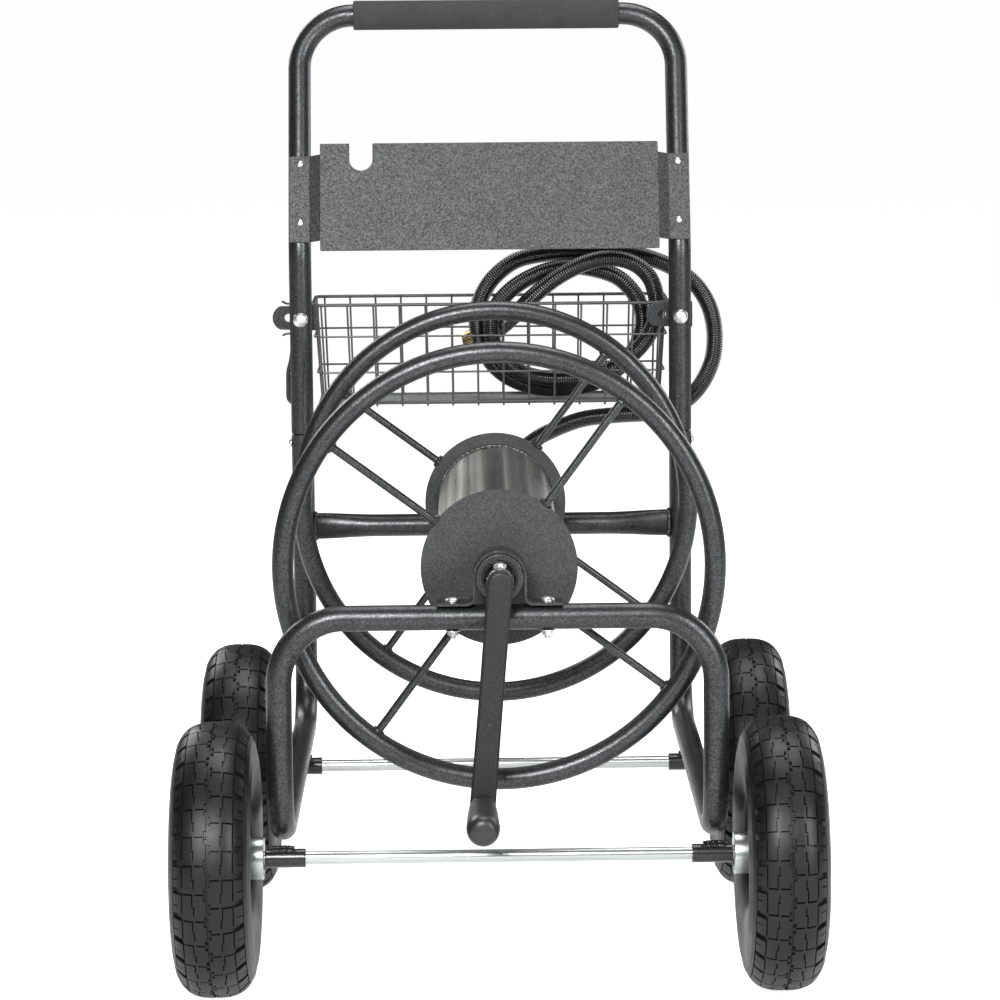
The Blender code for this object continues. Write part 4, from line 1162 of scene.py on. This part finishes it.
def wheels():
    kinds = (
        (tyre_mesh(), "tyre_tread_", "tyre_rubber", ["tyre_"]),
        (rim_form().mesh("rim", RIM), "rim_pressed_", "rim_steel", ["rim_"]),
        (hub_form().mesh("hub", ZINC), "hub_tube_", "zinc", []),
        (stud_form().mesh("rim_bolts", BRIGHT), "rim_bolts_", "zinc", []),
        (valve_form().mesh("valve", RUBBER), "valve_", "tyre_rubber", []),
    )
    for end, y in ENDS:
        for side, word in SIDES:
            name = end + "_" + word
            turn = Matrix.Rotation(math.pi if side < 0 else 0.0, 4, "Z")
            place = Matrix.Translation((side * TRACK_X, y, AXLE_Z)) @ turn
            for mesh, kind, slot, stems in kinds:
                settle(bpy.data.objects.new(kind + name, mesh), "wheel_" + name,
                       [stem + name for stem in stems], place)


wheels()


# ---- basket
TOP_HALF, LOW_HALF = 0.2010, 0.1930
TOP_DEPTH, LOW_DEPTH = 0.1080, 0.0760
HEIGHT = BASKET_TOP_Z - BASKET_LOW_Z


def basket_at(z):
    """Half width and depth of the basket at a height."""
    t = (z - BASKET_LOW_Z) / HEIGHT
    return LOW_HALF + (TOP_HALF - LOW_HALF) * t, LOW_DEPTH + (TOP_DEPTH - LOW_DEPTH) * t


def basket_loop(z, inset, corner=0.010):
    half, depth = basket_at(z)
    half -= inset
    y0, y1 = BASKET_Y + inset, BASKET_Y + depth - inset
    outline = eased([(-half, y0), (half, y0), (half, y1), (-half, y1)], corner, 8)
    return [(x, y, z) for x, y in outline]


def basket():
    thin, rim = 0.00115, 0.0019
    front, rear, ends = Form(), Form(), Form()
    front.add(sweep(basket_loop(BASKET_TOP_Z - rim, 0.0008), rim, 12, True))
    for z in (0.5855, 0.5450):
        front.add(sweep(basket_loop(z, 0.0004), thin, 8, True))
    front.add(sweep(basket_loop(BASKET_LOW_Z + 0.0016, 0.0006), 0.0016, 10, True))
    pitch = 0.0285
    low = BASKET_LOW_Z - 0.0010

    def upright(x_low, x_high, y_low, y_high, way):
        """One wire from the rim down over the floor's edge, its end turned under."""
        points = [(x_high, y_high, BASKET_TOP_Z - 0.0006)]
        for k in range(1, 8):
            t = k / 8
            points.append((x_high + (x_low - x_high) * t, y_high + (y_low - y_high) * t,
                           BASKET_TOP_Z + (low + 0.003 - BASKET_TOP_Z) * t))
        points.append((x_low, y_low, low + 0.0020))
        for reach, down in ((0.0006, 0.0006), (0.0026, 0.0020), (0.0100, 0.0022)):
            points.append((x_low + way[0] * reach, y_low + way[1] * reach, low - down))
        return sweep(points, thin, 8, chamfer=0.0004)

    count = 13
    for k in range(count + 1):
        x = -pitch * count / 2 + pitch * k
        high = x * TOP_HALF / LOW_HALF * 0.985
        front.add(upright(x, high, BASKET_Y + 0.0026, BASKET_Y + 0.0030, (0, 1)))
        rear.add(upright(x, high, BASKET_Y + LOW_DEPTH - 0.0026,
                         BASKET_Y + TOP_DEPTH - 0.0030, (0, -1)))
    for side, _ in SIDES:
        for k in (1, 2, 3):
            t = k / 4
            ends.add(upright(side * (LOW_HALF - 0.0026), side * (TOP_HALF - 0.0030),
                             BASKET_Y + LOW_DEPTH * t, BASKET_Y + TOP_DEPTH * t, (-side, 0)))
    front.piece("basket_rims_and_front", WIRE, "cart", "basket_wire", ["basket_front"])
    rear.piece("basket_rear_wires", WIRE, "cart", "basket_wire", ["basket_rear"])
    ends.piece("basket_end_wires", WIRE, "cart", "basket_wire", both("basket_end"))
    half, depth, edge = LOW_HALF - 0.0036, LOW_DEPTH, 0.0038
    outline = eased([(-half, edge), (half, edge), (half, depth - edge), (-half, depth - edge)],
                    0.008, 8)
    floor = Form().add(slab(outline, 0.0016, 0.0005),
                       matrix=Matrix.Translation((0, BASKET_Y, BASKET_LOW_Z - 0.0006)))
    # the sheet's edge, rolled up: how far out and how far up each row of it stands
    rows = ((0.0, -0.0006), (0.0006, 0.0002), (0.0008, 0.0012), (0.0004, 0.0016),
            (-0.0002, 0.0012), (-0.0004, 0.0002))
    verts = []
    for grow, h in rows:
        for x, y in outline:
            d = (Vector((x, y)) - Vector((0, depth / 2))).normalized()
            verts.append((x + d.x * (grow + 0.0002), BASKET_Y + y + d.y * (grow + 0.0002),
                          BASKET_LOW_Z + h - 0.0004))
    floor.add((verts, grid_faces(len(rows), len(outline), True)))
    # the floor sheet takes the lightened copy of the paint: painted light over its shade
    floor.piece("basket_sheet_floor", TRAY_PAINT_PAINTED_LIGHT, "cart", "basket_wire", ["basket_floor"])


def brackets():
    """Two small plates behind the uprights, each with a hole beside the tube."""
    form = Form()
    back = UPRIGHT_Y + TUBE_R + GAP + 0.0015
    half = 0.0145
    for low in (-0.2410, 0.1775):
        high = low + 0.0490
        outline = arc(low + half * 0.8, BOLT_Z, half, 115, 245, 18)
        outline += [(high - 0.001, BOLT_Z - half), (high, BOLT_Z - half + 0.001),
                    (high, BOLT_Z + half - 0.001), (high - 0.001, BOLT_Z + half)]
        hole = arc(low + 0.0150, BOLT_Z, 0.0045, 0, 345, 23)
        form.add(slab(outline, 0.0030, 0.0005, [hole]), matrix=axes((0, back, 0), X, Z))
    form.piece("basket_plates", PAINT, "cart", "hammertone", both("basket_bracket"), 30)


def side_clip():
    """A sprung strip behind the left upright, with its folded foot and two short wire ends."""
    form = Form()
    back = UPRIGHT_Y + TUBE_R + 0.0024
    x = -FRAME_X - 0.0105
    strip = smooth([
        (x + 0.0040, back, 0.5960), (x + 0.0010, back, 0.5800), (x - 0.0020, back, 0.5600),
        (x - 0.0052, back, 0.5470), (x - 0.0056, back, 0.5300), (x - 0.0054, back, 0.5170),
        (x - 0.0010, back, 0.5120),
    ], 0.003)
    form.add(sweep(strip, [(0.0024, 0.0009)] * len(strip), 12, up=Y, chamfer=0.0004))
    form.add(slab([(0, 0), (0.0060, 0), (0.0064, 0.0300), (0.0004, 0.0290)], 0.0030, 0.0006),
             matrix=axes((x - 0.0042, back, 0.5150), X, Z))
    for z, tip in ((0.6240, 0.6270), (0.5900, 0.5880)):
        wire = [(x + 0.0060, back, z), (x - 0.0060, back, z), (x - 0.0110, back - 0.001, tip)]
        form.add(sweep(smooth(wire, 0.0015), 0.0012, 10, chamfer=0.0004))
    form.piece("side_clip", PAINT, "cart", "hammertone", (), 40)


basket()
brackets()
side_clip()


# ---- floor and light
# strengths in reflections and lighting, and as the camera sees them
FLOOR_GLOW = (0.30, 0.92)
WORLD_GLOW = (0.08, 1.0)
FLOOR_REACH = 900
WHITE = (1, 1, 1, 1)


def floor():
    mesh = bpy.data.meshes.new("studio_floor")
    corners = ((-1, -1), (1, -1), (1, 1), (-1, 1))
    mesh.from_pydata([(x * FLOOR_REACH, y * FLOOR_REACH, 0) for x, y in corners], [],
                     [(0, 1, 2, 3)])
    mat, tree, shader, _ = blank("studio_floor", {
        "Base Color": (0.80, 0.80, 0.80, 1), "Roughness": 0.9, "Specular IOR Level": 0.1,
        "Emission Color": WHITE,
    })
    seen = node(tree, "LightPath", {}, "Is Camera Ray")
    wire(tree, shader, {"Emission Strength": spread(tree, seen, *FLOOR_GLOW)})
    mesh.materials.append(mat)
    ground = bpy.data.objects.new("studio_floor", mesh)
    ground.location.z = -0.0006
    bpy.context.scene.collection.objects.link(ground)


def softbox(name, place, aim, size, power):
    data = bpy.data.lights.new(name, "AREA")
    data.shape = "RECTANGLE"
    data.size, data.size_y = size
    data.energy = power
    lamp = bpy.data.objects.new(name, data)
    lamp.location = place
    lamp.rotation_mode = "QUATERNION"
    lamp.rotation_quaternion = (Vector(aim) - Vector(place)).to_track_quat("-Z", "Y")
    bpy.context.scene.collection.objects.link(lamp)


def lighting():
    world = bpy.data.worlds.new("studio")
    world.use_nodes = True
    tree = world.node_tree
    seen = node(tree, "LightPath", {}, "Is Camera Ray")
    wire(tree, tree.nodes["Background"], {
        "Color": WHITE, "Strength": spread(tree, seen, *WORLD_GLOW),
    })
    bpy.context.scene.world = world
    softbox("key", (-0.6, -3.0, 2.0), (0, 0, 0.45), (0.9, 1.1), 125)
    softbox("fill", (1.8, -2.2, 1.4), (0, 0, 0.45), (0.7, 1.5), 52)
    softbox("top", (0.2, 0.6, 3.0), (0, 0, 0.4), (1.6, 1.6), 50)
    softbox("back", (-1.6, 2.4, 1.8), (0, 0, 0.5), (1.4, 1.4), 34)
    softbox("back_right", (2.0, 1.9, 1.4), (0, 0, 0.5), (1.2, 1.4), 24)
    bpy.context.scene.view_settings.view_transform = "Standard"


floor()
lighting()

bpy.context.view_layer.update()
